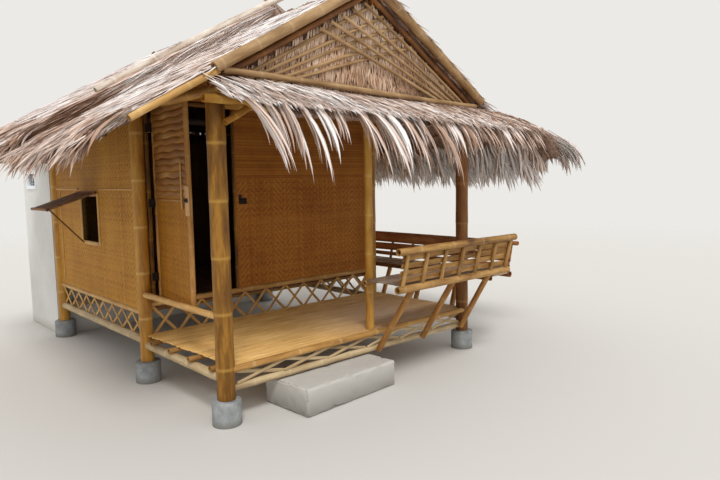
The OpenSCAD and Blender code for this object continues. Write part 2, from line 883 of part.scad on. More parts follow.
// Flap and middle knuckle of the moving half of each hinge
module door_hinges() {
    color("#3c3a36")
        leaf_place()
            for (z = hinge_levels) translate([0, 0, z])
                difference() {
                    union() {
                        translate([0, 0, -knuckle_h / 2]) cylinder(h = knuckle_h, r = barrel_r, $fn = 32);
                        box([0, barrel_r - flap_t - seat, -knuckle_h / 2],
                            [flap_l, barrel_r - seat, knuckle_h / 2]);
                        box([barrel_r + 5 * knuckle_gap, barrel_r - flap_t - seat, -hinge_h / 2],
                            [flap_l, barrel_r - seat, hinge_h / 2]);
                    }
                    translate([0, 0, -hinge_h]) cylinder(h = 2 * hinge_h, r = pin_r + pin_fit, $fn = 32);
                }
}

module latch_plate() {
    x1 = leaf_x0 + leaf_w + latch_out;
    color(light_bamboo)
        leaf_place()
            box([x1 - latch_w, leaf_v0 - seat - latch_t, latch_z - latch_h / 2],
                [x1, leaf_v0 - seat, latch_z + latch_h / 2]);
}

// The trim round the window opening, on the outside of the left wall
module window_trim() {
    y0 = window_y0;
    y1 = window_y0 + window_w;
    z0 = window_z;
    z1 = window_z + window_h;
    color(light_bamboo) {
        box([trim_face - trim_t, y0 - trim_w, z0], [trim_face, y0, z1]);
        box([trim_face - trim_t, y1, z0], [trim_face, y1 + trim_w, z1]);
        box([trim_face - trim_t, y0 - trim_w, z1], [trim_face, y1 + trim_w, z1 + trim_w + 12]);
        box([trim_face - trim_t, y0 - trim_w, z0 - trim_w], [trim_face, y1 + trim_w, z0]);
    }
}

// The propped shutter, grown by a clearance
module shutter_shape(grow) {
    y0 = window_y0 - shutter_side;
    y1 = window_y0 + window_w + shutter_side;
    pole_y(shutter_x, y0 - grow, y1 + grow, shutter_z, shutter_pole_d + 2 * grow);
    translate([shutter_x, y0, shutter_z])
        rotate([0, -shutter_angle, 0])
            box([-shutter_l - grow, -grow, -shutter_t / 2 - grow], [0, y1 - y0 + grow, shutter_t / 2 + grow]);
}

module window_shutter() {
    color(dark_bamboo) shutter_shape(0);
}

// A stick from the window sill to the underside of the shutter
module shutter_prop() {
    reach = shutter_l - 60;
    top = [shutter_x - reach * cos(shutter_angle), window_y0 + window_w / 2 - 20,
        shutter_z - reach * sin(shutter_angle)];
    foot = [trim_face - trim_t - prop_d / 2, window_y0 + window_w - 60, window_z - trim_w / 2];
    color(bamboo)
        difference() {
            pole(foot, top, prop_d);
            shutter_shape(seat);
            box([trim_face - trim_t - seat, 0, 0], [0, far, far]);
        }
}

module side_plates() {
    color(bamboo) plate_shapes(0);
}

// The front plate, the porch tie between the posts and the two ties over the room
module cross_beams() {
    color(bamboo)
        difference() {
            union() {
                front_plate_shape(0);
                room_tie_shapes(0);
                pole_x(0, frame_w, front_y, porch_tie_z, tie_d);
            }
            round_posts();
        }
}

module king_posts() {
    color(bamboo)
        difference() {
            for (y = [front_tie_y, rear_tie_y]) pole_z(mid_x, y, tie_z, roof_z(0, plate_n), king_d);
            room_tie_shapes(seat);
            ridge_shape(seat);
        }
}

// Short braces from the porch posts up to the front plate
module knee_braces() {
    y = -porch_post_r - seat - brace_d / 2;
    foot_x = brace_d / 2 - 2;
    color(light_bamboo)
        difference() {
            union() {
                pole([foot_x, y, tie_z - brace_drop], [brace_reach, y, tie_z], brace_d);
                pole([frame_w - foot_x, y, tie_z - brace_drop], [frame_w - brace_reach, y, tie_z], brace_d);
            }
            front_plate_shape(seat);
            round_posts();
            box([-far, -far, tie_z], [far, far, far]);
        }
}

// One sloping pole on each side of the ridge, at a depth n below the thatch, cut at the ridge
module slope_pair(y, n, d, from_u, to_u) {
    for (side = [-1, 1])
        intersection() {
            pole([mid_x + side * from_u, y, roof_z(from_u, n)],
                [mid_x + side * to_u, y, roof_z(to_u, n)], d);
            translate([mid_x + side * (far / 2 + seat / 2), y, ridge_z])
                cube([far, 4 * d, far], center = true);
        }
}

module rafters() {
    color(bamboo)
        for (i = [0 : rafter_count - 1])
            slope_pair(gable_y + i * rafter_gap, rafter_n, rafter_d, eave_u - rafter_in, -rafter_d);
}

module ridge_and_battens() {
    color(bamboo) {
        ridge_shape(0);
        for (i = [0 : purlin_count - 1], side = [-1, 1]) {
            u = 130 + i * purlin_gap;
            pole_y(mid_x + side * u, roof_front_y + 5, roof_rear_y - 5, roof_z(u, purlin_n), purlin_d);
        }
    }
}

// Section of a hanging fringe from its upper edge at [0, 0], bent where the leaves begin to hang
function fringe(drop, extra) = [[0, 0], [fringe_bend * fringe_out, -fringe_fall * drop],
    [fringe_out, -drop], [fringe_out - fringe_t, -drop],
    [fringe_bend * fringe_out - fringe_t, -fringe_fall * drop - 1.2 * fringe_t - extra]];

// A slope of thatch in overlapping courses with its hanging fringe; side is -1 on the left and
// 1 on the right
module thatch_slope(side, y0, y1, extra, drop) {
    step = eave_u / course_count;
    courses = [for (i = [1 : course_count - 1], dip = [0, course_dip])
        [i * step, roof_z(i * step, dip - extra)]];
    edge = [for (p = fringe(drop, extra)) [eave_u + p[0], roof_z(eave_u, -extra) + p[1]]];
    outline = concat([[seat, roof_z(seat, -extra)]], courses, edge,
        [[eave_u - fringe_t, roof_z(eave_u - fringe_t, thatch_t)], [seat, roof_z(seat, thatch_t)]]);
    upright_slab(y0, y1) polygon([for (p = outline) [mid_x + side * p[0], p[1]]]);
}

// Everything in front of the roof and left of the hip line, seen from above
module hip_cut(shift) {
    y0 = awning_back_y;
    y1 = -awning_out;
    k = (hip_x(y1) - hip_x(y0)) / (y1 - y0);
    y2 = -awning_out - 300;
    linear_extrude(far)
        polygon([[-far, roof_front_y], [hip_x(y0) + shift, roof_front_y], [hip_x(y0) + shift, y0],
            [hip_x(y0) + k * (y2 - y0) + shift, y2], [-far, y2]]);
}

module porch_thatch() {
    color(thatch_colour) {
        thatch_slope(-1, roof_front_y, layer_y - seat, 0, left_drop);
        difference() {
            thatch_slope(1, -awning_out, layer_y - seat, 0, right_drop);
            hip_cut(0);
        }
    }
}

module room_thatch() {
    color(thatch_colour)
        for (side = [-1, 1])
            thatch_slope(side, layer_y, roof_rear_y, layer_t, side < 0 ? left_drop : right_drop);
}

// A pair of long poles on the front edge of the upper thatch, crossing over the ridge
module roof_poles() {
    n = -layer_t - seat - roof_pole_d / 2;
    low_u = eave_u - 550;
    color(light_bamboo)
        for (side = [-1, 1]) {
            y = layer_y + 60 + side * (roof_pole_d + 1) / 2;
            pole([mid_x + side * low_u, y, roof_z(low_u, n)],
                [mid_x - side * crossing_l, y, roof_z(-crossing_l, n)], roof_pole_d);
        }
}

// The triangle under the roof, with its top edges at a depth n below the thatch
module gable_outline(n, low) {
    u = (roof_z(0, n) - low) / tan(roof_pitch);
    polygon([[mid_x - u, low], [mid_x + u, low], [mid_x, roof_z(0, n)]]);
}

module gable_infill() {
    n = thatch_t + purlin_d + 3 * seat;
    back_y = rear_gable_y - rafter_d / 2 - seat;
    color(dark_bamboo)
        difference() {
            union() {
                upright_slab(infill_y, infill_y + infill_t) gable_outline(n, infill_low);
                upright_slab(back_y - infill_t, back_y) gable_outline(n, infill_low);
            }
            ridge_shape(seat);
        }
}

// Two fans of slim poles that cross over the front gable
module gable_lattice() {
    n = rafter_n + rafter_d / 2 + seat;
    low = base_pole_z - base_pole_d / 2;
    color(light_bamboo)
        for (side = [-1, 1])
            difference() {
                intersection() {
                    upright_slab(verge_y, infill_y) gable_outline(n, low);
                    for (i = [0 : gable_stick_count - 1]) {
                        y = side < 0 ? stick_back_y : stick_front_y;
                        foot_u = gable_fan_foot - gable_foot_step * i;
                        head_u = gable_fan_head + gable_head_step * i;
                        pole([mid_x + side * foot_u, y, low - gable_stick_d],
                            [mid_x - side * head_u, y, roof_z(head_u, n - gable_stick_d)],
                            gable_stick_d);
                    }
                }
                ridge_shape(seat);
            }
}

// Sloping poles at the front and rear edges of the roof and the pole along the gable base
module verge_poles() {
    n = thatch_t / 2;
    rear_verge_y = roof_rear_y + seat + verge_d / 2;
    // The front ones end where their undersides would meet the awning
    clear_z = awning_top(awning_back_y) + verge_d / 2 / cos(roof_pitch) + seat;
    low_u = (roof_z(0, n) - clear_z) / tan(roof_pitch);
    color(light_bamboo) {
        slope_pair(verge_y, n, verge_d, low_u, -verge_d);
        slope_pair(rear_verge_y, n, verge_d, mid_x + rear_verge_over, -verge_d);
        difference() {
            pole_x(-15, frame_w + 15, base_pole_y, base_pole_z, base_pole_d);
            slope_pair(verge_y, n, verge_d + 2 * seat, low_u + verge_d, -verge_d);
        }
    }
}

module awning_thatch() {
    y0 = awning_back_y;
    y1 = -awning_out;
    step = (y1 - y0) / awning_courses;
    courses = [for (i = [1 : awning_courses - 1], dip = [0, awning_dip])
        [y0 + i * step, awning_top(y0 + i * step) - dip]];
    edge = [for (p = fringe(awning_drop, 0)) [y1 - p[0], awning_top(y1) + p[1]]];
    color(thatch_colour)
        intersection() {
            cross_slab(awning_left, frame_w + eave_out)
                polygon(concat([[y0, awning_top(y0)]], courses, edge,
                    [[y1 + fringe_t, awning_low(y1 + fringe_t)], [y0, awning_low(y0)]]));
            hip_cut(-seat);
        }
}

// Short rafters that carry the awning out from the front plate
module awning_poles() {
    x0 = 60;
    step = (frame_w - 2 * x0) / (awning_rafter_count - 1);
    y0 = front_plate_y + 20;
    y1 = -awning_out + 60;
    color(bamboo)
        for (i = [0 : awning_rafter_count - 1])
            pole([x0 + i * step, y0, awning_rafter_z(y0)], [x0 + i * step, y1, awning_rafter_z(y1)],
                awning_rafter_d);
}

// Outer rails of the two benches, grown by a clearance
module seat_rail_shapes(grow) {
    pole_x(bench_x0, bench_x1, -bench_out, seat_rail_z, bench_rail_d + 2 * grow);
    pole_y(side_rail_x, -side_bench_front, side_y1, side_rail_z, bench_rail_d + 2 * grow);
}

module inner_rail_shapes(grow) {
    pole_x(seat_x0, frame_w, inner_rail_y, inner_rail_z, inner_rail_d + 2 * grow);
    pole_y(side_inner_x, -side_bench_front + 40, side_y1, side_inner_z, inner_rail_d + 2 * grow);
}

// Seat rails, the bearers between them and the planks on the bearers
module bench_seats() {
    plank_z = inner_rail_z + bearer_d / 2 + seat;
    side_plank_z = side_inner_z + bearer_d / 2 + seat;
    y0 = -bench_out + bench_rail_d / 2 + 1;
    y1 = inner_rail_y - inner_rail_d / 2 - 1;
    plank_w = (y1 - y0 - (plank_count - 1) * plank_gap) / plank_count;
    x0 = side_inner_x + inner_rail_d / 2 + 1;
    x1 = side_rail_x - bench_rail_d / 2 - 1;
    side_count = plank_count - 1;
    side_plank_w = (x1 - x0 - (side_count - 1) * plank_gap) / side_count;
    color(bamboo) {
        seat_rail_shapes(0);
        difference() {
            inner_rail_shapes(0);
            round_posts();
        }
        difference() {
            union() {
                for (i = [0 : bearer_count - 1]) {
                    pole_y(bearer_x(i), -bench_out, inner_rail_y, inner_rail_z, bearer_d);
                    pole_x(side_inner_x, side_rail_x, bearer_y(i), side_inner_z, bearer_d);
                }
            }
            seat_rail_shapes(seat);
            inner_rail_shapes(seat);
            round_posts();
        }
    }
    color("#a58a68") {
        difference() {
            for (i = [0 : plank_count - 1])
                translate([0, y0 + i * (plank_w + plank_gap), plank_z])
                    box([seat_x0, 0, 0], [seat_x1, plank_w, plank_t]);
            round_posts();
        }
        for (i = [0 : side_count - 1])
            translate([x0 + i * (side_plank_w + plank_gap), 0, side_plank_z])
                box([0, -side_bench_front + 20, 0], [side_plank_w, side_y1 - 10, plank_t]);
    }
}

// Where the struts meet the outer rails and where they stand; the bearers lie beside them
function strut_top_x(i) = seat_x0 + 96 + i * (frame_w - 250 - seat_x0 - 96) / (bearer_count - 1);
function strut_foot_x(i) =
    seat_x0 + 150 + i * (frame_w - right_post_r - 20 - seat_x0 - 150) / (bearer_count - 1);
function bearer_x(i) = strut_top_x(i) + 60;
function bearer_y(i) = 170 + i * (wall_y - room_post_r - 240) / (bearer_count - 1);

// A leaning back drawn along +X, with its foot on the axis of the seat rail and leaning towards
// -Y; its slats lie one under the other from the top rail down
module leaning_back(length, rail_top_d, slats, slat_high, gap, first) {
    lean = atan2(back_lean, back_h);
    reach = norm([back_lean, back_h]);
    step = (length - 2 * first) / (upright_count - 1);
    high = reach - rail_top_d / 2;
    face = upright_d / 2 + seat;
    rotate([lean, 0, 0]) {
        for (i = [0 : upright_count - 1])
            pole_z(first + i * step, 0, bench_rail_d / 2 + seat, high - seat, upright_d);
        for (i = [1 : slats]) {
            z = high - 8 - i * slat_high - (i - 1) * gap;
            box([first / 2, face, z], [length - first / 2, face + slat_t, z + slat_high]);
        }
        pole_x(-60, length, 0, reach, rail_top_d);
    }
}

module bench_backs() {
    length = bench_x1 - bench_x0;
    side_length = side_y1 + side_bench_front;
    color(light_bamboo)
        translate([bench_x0, -bench_out, seat_rail_z])
            leaning_back(length, bench_rail_d, slat_count, slat_w, slat_gap, 55);
    color(dark_bamboo)
        translate([side_rail_x, -side_bench_front, side_rail_z])
            rotate([0, 0, 90]) {
                leaning_back(side_length, side_top_d, 2, side_board_w, side_board_gap, 70);
                rotate([atan2(back_lean, back_h), 0, 0])
                    pole_x(35, side_length - 35, low_pole_in, low_pole_up, side_top_d);
            }
}

// Slanted struts from the low beams out to the seat rails
module bench_struts() {
    front_foot = front_beam_d / 2 + strut_d / 2 - 5;
    side_foot = low_beam_d / 2 + strut_d / 2 - 5;
    color(bamboo)
        difference() {
            union() {
                for (i = [0 : bearer_count - 1]) {
                    pole([strut_foot_x(i), -front_foot, front_beam_z - 6],
                        [strut_top_x(i), -bench_out, seat_rail_z], strut_d);
                    pole([frame_w + side_foot, bearer_y(i) + 15, porch_beam_z],
                        [side_rail_x, bearer_y(i) + 175, side_rail_z], strut_d);
                }
            }
            pole_x(0, frame_w, front_y, front_beam_z, front_beam_d + 2 * seat);
            pole_y(frame_w, front_y, wall_y, porch_beam_z, low_beam_d + 2 * seat);
            pole_x(0, frame_w, edge_pole_y, edge_pole_z, edge_pole_d + 2 * seat);
            seat_rail_shapes(seat);
        }
}

module step_block() {
    color(concrete)
        translate([step_x, -step_out, 0]) rotate([0, 0, step_turn]) cube([step_w, step_depth, step_h]);
}

// Masonry annex: walls round a floor slab, with one window on the left
module annex_walls() {
    color("#e8ebee")
        difference() {
            box([annex_x0, annex_y0, 0], [annex_x1, annex_y1, annex_h]);
            box([annex_x0 + annex_t, annex_y0 + annex_t, annex_floor_t],
                [annex_x1 - annex_t, annex_y1 - annex_t, annex_h + 1]);
            box([annex_x0 - 1, vent_y0, vent_z], [annex_x0 + annex_t + 1, vent_y0 + vent_w, vent_z + vent_h]);
            for (x = [0, frame_w])
                translate([x, rear_y, -1]) cylinder(h = footing_h + 2, d = footing_d + 2, $fn = 48);
        }
}

module annex_roof() {
    color("#e8ebee")
        box([annex_x0 - annex_over, annex_y0, annex_h], [annex_x1 + annex_over, annex_y1 + annex_over,
            annex_h + annex_slab_t]);
}

// White frame that lines the annex window
module annex_window_frame() {
    x1 = annex_x0 + annex_t - 20;
    color("#f4f6f8")
        difference() {
            box([annex_x0 - 12, vent_y0 + seat, vent_z + seat],
                [x1, vent_y0 + vent_w - seat, vent_z + vent_h - seat]);
            box([annex_x0 - 20, vent_y0 + vent_frame, vent_z + vent_frame],
                [x1 + 10, vent_y0 + vent_w - vent_frame, vent_z + vent_h - vent_frame]);
        }
}

// Tilted glass louvres held in the window frame
module annex_louvres() {
    step = (vent_h - 2 * vent_frame) / louvre_count;
    color("#c6d4d8")
        for (i = [0 : louvre_count - 1])
            translate([annex_x0 + 30, 0, vent_z + vent_frame + (i + 0.5) * step])
                rotate([0, 35, 0])
                    box([-step / 2, vent_y0 + vent_frame + seat, -louvre_t / 2],
                        [step / 2, vent_y0 + vent_w - vent_frame - seat, louvre_t / 2]);
}

footings();
porch_posts();
room_posts();
slim_post();
lower_beams();
deck_joists();
deck_mat();
handrail();
side_lattices();
front_lattices();
floor_rails();
room_floor();
left_wall();
right_wall();
rear_wall();
front_wall();
front_gable_wall();
door_surround();
wall_battens();
hinge_brackets();
door_frame();
door_panel();
door_hinges();
latch_plate();
window_trim();
window_shutter();
shutter_prop();
side_plates();
cross_beams();
king_posts();
knee_braces();
rafters();
ridge_and_battens();
porch_thatch();
room_thatch();
roof_poles();
gable_infill();
gable_lattice();
verge_poles();
awning_thatch();
awning_poles();
bench_seats();
bench_backs();
bench_struts();
step_block();
annex_walls();
annex_roof();
annex_window_frame();
annex_louvres();
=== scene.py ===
import math
import bpy
import numpy as np
from mathutils import Matrix, Vector


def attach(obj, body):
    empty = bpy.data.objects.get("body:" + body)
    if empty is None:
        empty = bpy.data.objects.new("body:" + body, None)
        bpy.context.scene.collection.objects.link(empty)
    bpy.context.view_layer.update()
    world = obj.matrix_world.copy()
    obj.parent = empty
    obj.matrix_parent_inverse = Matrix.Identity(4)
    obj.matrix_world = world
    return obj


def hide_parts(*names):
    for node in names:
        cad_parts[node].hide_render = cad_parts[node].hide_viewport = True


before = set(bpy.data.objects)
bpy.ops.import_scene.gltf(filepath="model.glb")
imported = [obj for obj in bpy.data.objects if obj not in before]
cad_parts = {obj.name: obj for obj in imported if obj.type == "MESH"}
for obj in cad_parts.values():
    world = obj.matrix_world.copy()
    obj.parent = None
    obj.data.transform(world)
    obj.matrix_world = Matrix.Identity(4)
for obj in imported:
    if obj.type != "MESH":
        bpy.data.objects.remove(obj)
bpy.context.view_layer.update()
dice = np.random.default_rng(41)
print("frame loaded")

# Sizes shared by all pieces, in metres, the same as the part's own
house = {
    "width": 2.7, "midX": 1.35, "wallY": 1.3, "rearY": 3.5, "footTop": 0.18, "deckTop": 0.41,
    "plateZ": 2.31, "tieZ": 2.2437, "porchTieZ": 2.2237, "frontPlateY": -0.0963,
    "ridgeZ": 3.281, "pitch": math.radians(30), "eave": 2.25,
    "roofFront": -0.1218, "roofRear": 3.65, "layerY": 1.15, "hinge": (0.1053, 1.272),
}
midX, wallY, rearY, width = (house[k] for k in ("midX", "wallY", "rearY", "width"))


def roofHeight(u, depth):  # u is the distance from the ridge, depth is square to the slope
    return house["ridgeZ"] - math.tan(house["pitch"]) * u - depth / math.cos(house["pitch"])


# The camera stands where the photo was taken from
camera = {"place": (-2.086, -3.640, 1.700), "turn": 43.03, "dip": 5.76, "roll": -0.91,
          "focal": 598.16, "frameWidth": 720, "sensor": 36, "farthest": 200}
turn, dip, roll = (math.radians(camera[k]) for k in ("turn", "dip", "roll"))
ahead = Vector((math.sin(turn) * math.cos(dip), math.cos(turn) * math.cos(dip), -math.sin(dip)))
level = Vector((math.cos(turn), -math.sin(turn), 0))
above = level.cross(ahead)
right = level * math.cos(roll) + above * math.sin(roll)
up = above * math.cos(roll) - level * math.sin(roll)
lens = bpy.data.cameras.new("view")
lens.sensor_width = camera["sensor"]
lens.lens = camera["sensor"] * camera["focal"] / camera["frameWidth"]
lens.clip_end = camera["farthest"]
eye = bpy.data.objects.new("view", lens)
eye.matrix_world = Matrix((right, up, -ahead)).transposed().to_4x4()
eye.location = camera["place"]
bpy.context.scene.collection.objects.link(eye)
bpy.context.scene.camera = eye
print("camera placed")


def hexColour(text):  # sRGB hex to linear
    parts = [int(text[i:i + 2], 16) / 255 for i in (1, 3, 5)]
    return tuple(c / 12.92 if c <= 0.04045 else ((c + 0.055) / 1.055) ** 2.4 for c in parts) + (1,)


def feedNode(tree, made, feeds):  # a socket is linked, a node by its first one, and anything else is set
    for key, value in feeds.items():
        if isinstance(value, bpy.types.Node):
            value = value.outputs[0]
        if isinstance(value, bpy.types.NodeSocket):
            tree.links.new(value, made.inputs[key])
        else:
            made.inputs[key].default_value = value


def addNode(tree, kind, feeds=None, **settings):
    made = tree.nodes.new("ShaderNode" + kind)
    for key, value in settings.items():
        setattr(made, key, value)
    feedNode(tree, made, feeds or {})
    return made


def newMaterial(name):
    made = bpy.data.materials.new(name)
    made.use_nodes = True
    return made, made.node_tree, made.node_tree.nodes["Principled BSDF"]


def setRamp(ramp, stops):
    while len(ramp.elements) < len(stops):
        ramp.elements.new(0.5)
    for element, (place, colour) in zip(ramp.elements, stops):
        element.position = place
        element.color = hexColour(colour)


# Bamboo culm, dried in the sun. It shows long fibres, a waxy sheen, brown blotches and a pale node ring.
# The "grain" attribute lies along each pole, so the fibres follow it. Fibres are drawn 4 mm wide, coarser
# than the real ones so that they show, and blotches are about 60 mm wide and 300 mm long.
culmFinish = {
    "fibres": (260, 260, 5), "fibreShare": 0.34, "blotches": (16, 16, 3.2), "blotchBase": 0.235,
    "poleScale": 0.31, "poleShare": 0.42, "ringShare": 0.7, "sheen": 0.32, "relief": 0.0016,
    "roughChange": (-0.1, 0.12), "stops": ((0.30, "dark"), (0.47, "middle"), (0.66, "light"), (0.86, "pale")),
}


def bambooMaterial(name, look):
    made, tree, shader = newMaterial(name)
    grain = addNode(tree, "Attribute", attribute_name="grain").outputs["Vector"]
    ring = addNode(tree, "Attribute", attribute_name="ring").outputs["Fac"]
    fibrePlace = addNode(tree, "Mapping", {"Vector": grain, "Scale": culmFinish["fibres"]})
    fibres = addNode(tree, "TexNoise", {"Vector": fibrePlace, "Scale": 1.0, "Detail": 3.0}).outputs["Fac"]
    blotchPlace = addNode(tree, "Mapping", {"Vector": grain, "Scale": culmFinish["blotches"]})
    blotches = addNode(tree, "TexNoise", {"Vector": blotchPlace, "Scale": 1.0, "Detail": 5.0,
                                          "Roughness": 0.62}).outputs["Fac"]
    own = addNode(tree, "TexNoise", {"Vector": grain, "Scale": culmFinish["poleScale"], "Detail": 1.0})
    plain = culmFinish["blotchBase"] - look["mottle"] / 2
    mixed = addNode(tree, "Math", {0: blotches, 1: look["mottle"], 2: plain}, operation="MULTIPLY_ADD")
    withTone = addNode(tree, "Math", {0: own.outputs["Fac"], 1: culmFinish["poleShare"], 2: mixed},
                       operation="MULTIPLY_ADD")
    withFibre = addNode(tree, "Math", {0: fibres, 1: culmFinish["fibreShare"], 2: withTone},
                        operation="MULTIPLY_ADD")
    ramp = addNode(tree, "ValToRGB", {"Fac": withFibre})
    setRamp(ramp.color_ramp, [(place, look[tone]) for place, tone in culmFinish["stops"]])
    ringShare = addNode(tree, "Math", {0: ring, 1: culmFinish["ringShare"]}, operation="MULTIPLY",
                        use_clamp=True)
    colour = addNode(tree, "Mix", {0: ringShare, 6: ramp, 7: hexColour(look["ring"])},
                     data_type="RGBA").outputs[2]
    if "worn" in look:  # a patch rubbed grey by feet
        worn = look["worn"]
        place = addNode(tree, "TexCoord").outputs["Object"]
        near = addNode(tree, "VectorMath", {0: place, 1: worn["place"]},
                       operation="DISTANCE").outputs["Value"]
        edge = addNode(tree, "Math", {0: blotches, 1: worn["ragged"], 2: near}, operation="MULTIPLY_ADD")
        patch = addNode(tree, "MapRange", {"Value": edge, "From Min": worn["from"], "From Max": worn["reach"],
                                           "To Min": worn["share"], "To Max": 0.0})
        colour = addNode(tree, "Mix", {0: patch, 6: colour, 7: hexColour(worn["colour"])},
                         data_type="RGBA").outputs[2]
    smoothest, roughest = (look["rough"] + change for change in culmFinish["roughChange"])
    dull = addNode(tree, "MapRange", {"Value": blotches, "From Min": 0.3, "From Max": 0.7,
                                      "To Min": smoothest, "To Max": roughest})
    bump = addNode(tree, "Bump", {"Height": withFibre, "Strength": 0.5, "Distance": culmFinish["relief"]})
    feedNode(tree, shader, {"Base Color": colour, "Roughness": dull, "IOR": 1.5,
                            "Specular IOR Level": culmFinish["sheen"], "Normal": bump})
    return made


# Each kind of bamboo has five colours, a roughness and a strength of its blotches
lookKeys = ("dark", "middle", "light", "pale", "ring", "rough", "mottle")
bambooLooks = {name: dict(zip(lookKeys, values)) for name, *values in (
    ("goldenBamboo", "#683a14", "#9c6824", "#b88431", "#cb9d48", "#d8b46a", 0.5, 1.0),
    ("stainedBamboo", "#432305", "#623c09", "#784e10", "#9a6b22", "#b98e40", 0.5, 1.6),
    ("earthBamboo", "#56300f", "#8b5a26", "#a57237", "#bc8b4d", "#c9a268", 0.55, 1.3),
    ("paleBamboo", "#7f5527", "#aa7c40", "#c29553", "#d6b072", "#e2c48e", 0.55, 1.0),
    ("benchBamboo", "#513413", "#865e2d", "#9f763f", "#b89158", "#c8a56e", 0.6, 1.4),
    ("brownBamboo", "#3c220c", "#673e1b", "#855429", "#9d6c3a", "#a67a46", 0.58, 1.0),
    ("ruddyBamboo", "#5a3017", "#8a5430", "#a56b40", "#bb8756", "#c09466", 0.58, 1.2),
    # near black: painted shade for the poles inside the room
    ("interiorShadeBamboo", "#140d07", "#21150b", "#2c1c10", "#382414", "#3c2a1a", 0.65, 1.0),
    ("weatheredBamboo", "#705a40", "#a18964", "#baa27a", "#d0bc96", "#d8c8a6", 0.62, 1.1),
    ("roofBamboo", "#5b4029", "#886741", "#a48259", "#bc9b72", "#c8aa82", 0.66, 1.2),
    # near white: weathered grey bamboo with painted sunlight, for the poles lying on the roof
    ("bleachedAndSunlitBamboo", "#8c7562", "#c3b09c", "#dccebe", "#efe6dc", "#efe7dc", 0.7, 1.4),
)}
bamboo = {name: bambooMaterial(name, look) for name, look in bambooLooks.items()}


# Plaited bamboo matting: split strips 9.5 mm wide in a zigzag twill, three over and three under. The real
# strips are about 6 mm, and they are drawn wider so that the zigzag shows. Painted shade darkens the gaps
# and dips between the strips, so their crowns read lighter. Painted shade also darkens the cut edges of
# the mat and its inner side.
plait = {"strip": 0.0095, "zigzag": 14, "repeat": 6, "over": 3, "crown": 0.45, "seeds": (7.0, 31.0),
         "cutDepth": 0.0185, "cutShade": -0.8, "insideShade": -0.72, "sheen": 0.22, "relief": 0.003,
         "stops": ((0.05, "dark"), (0.35, "middle"), (0.62, "light"), (0.95, "pale"))}


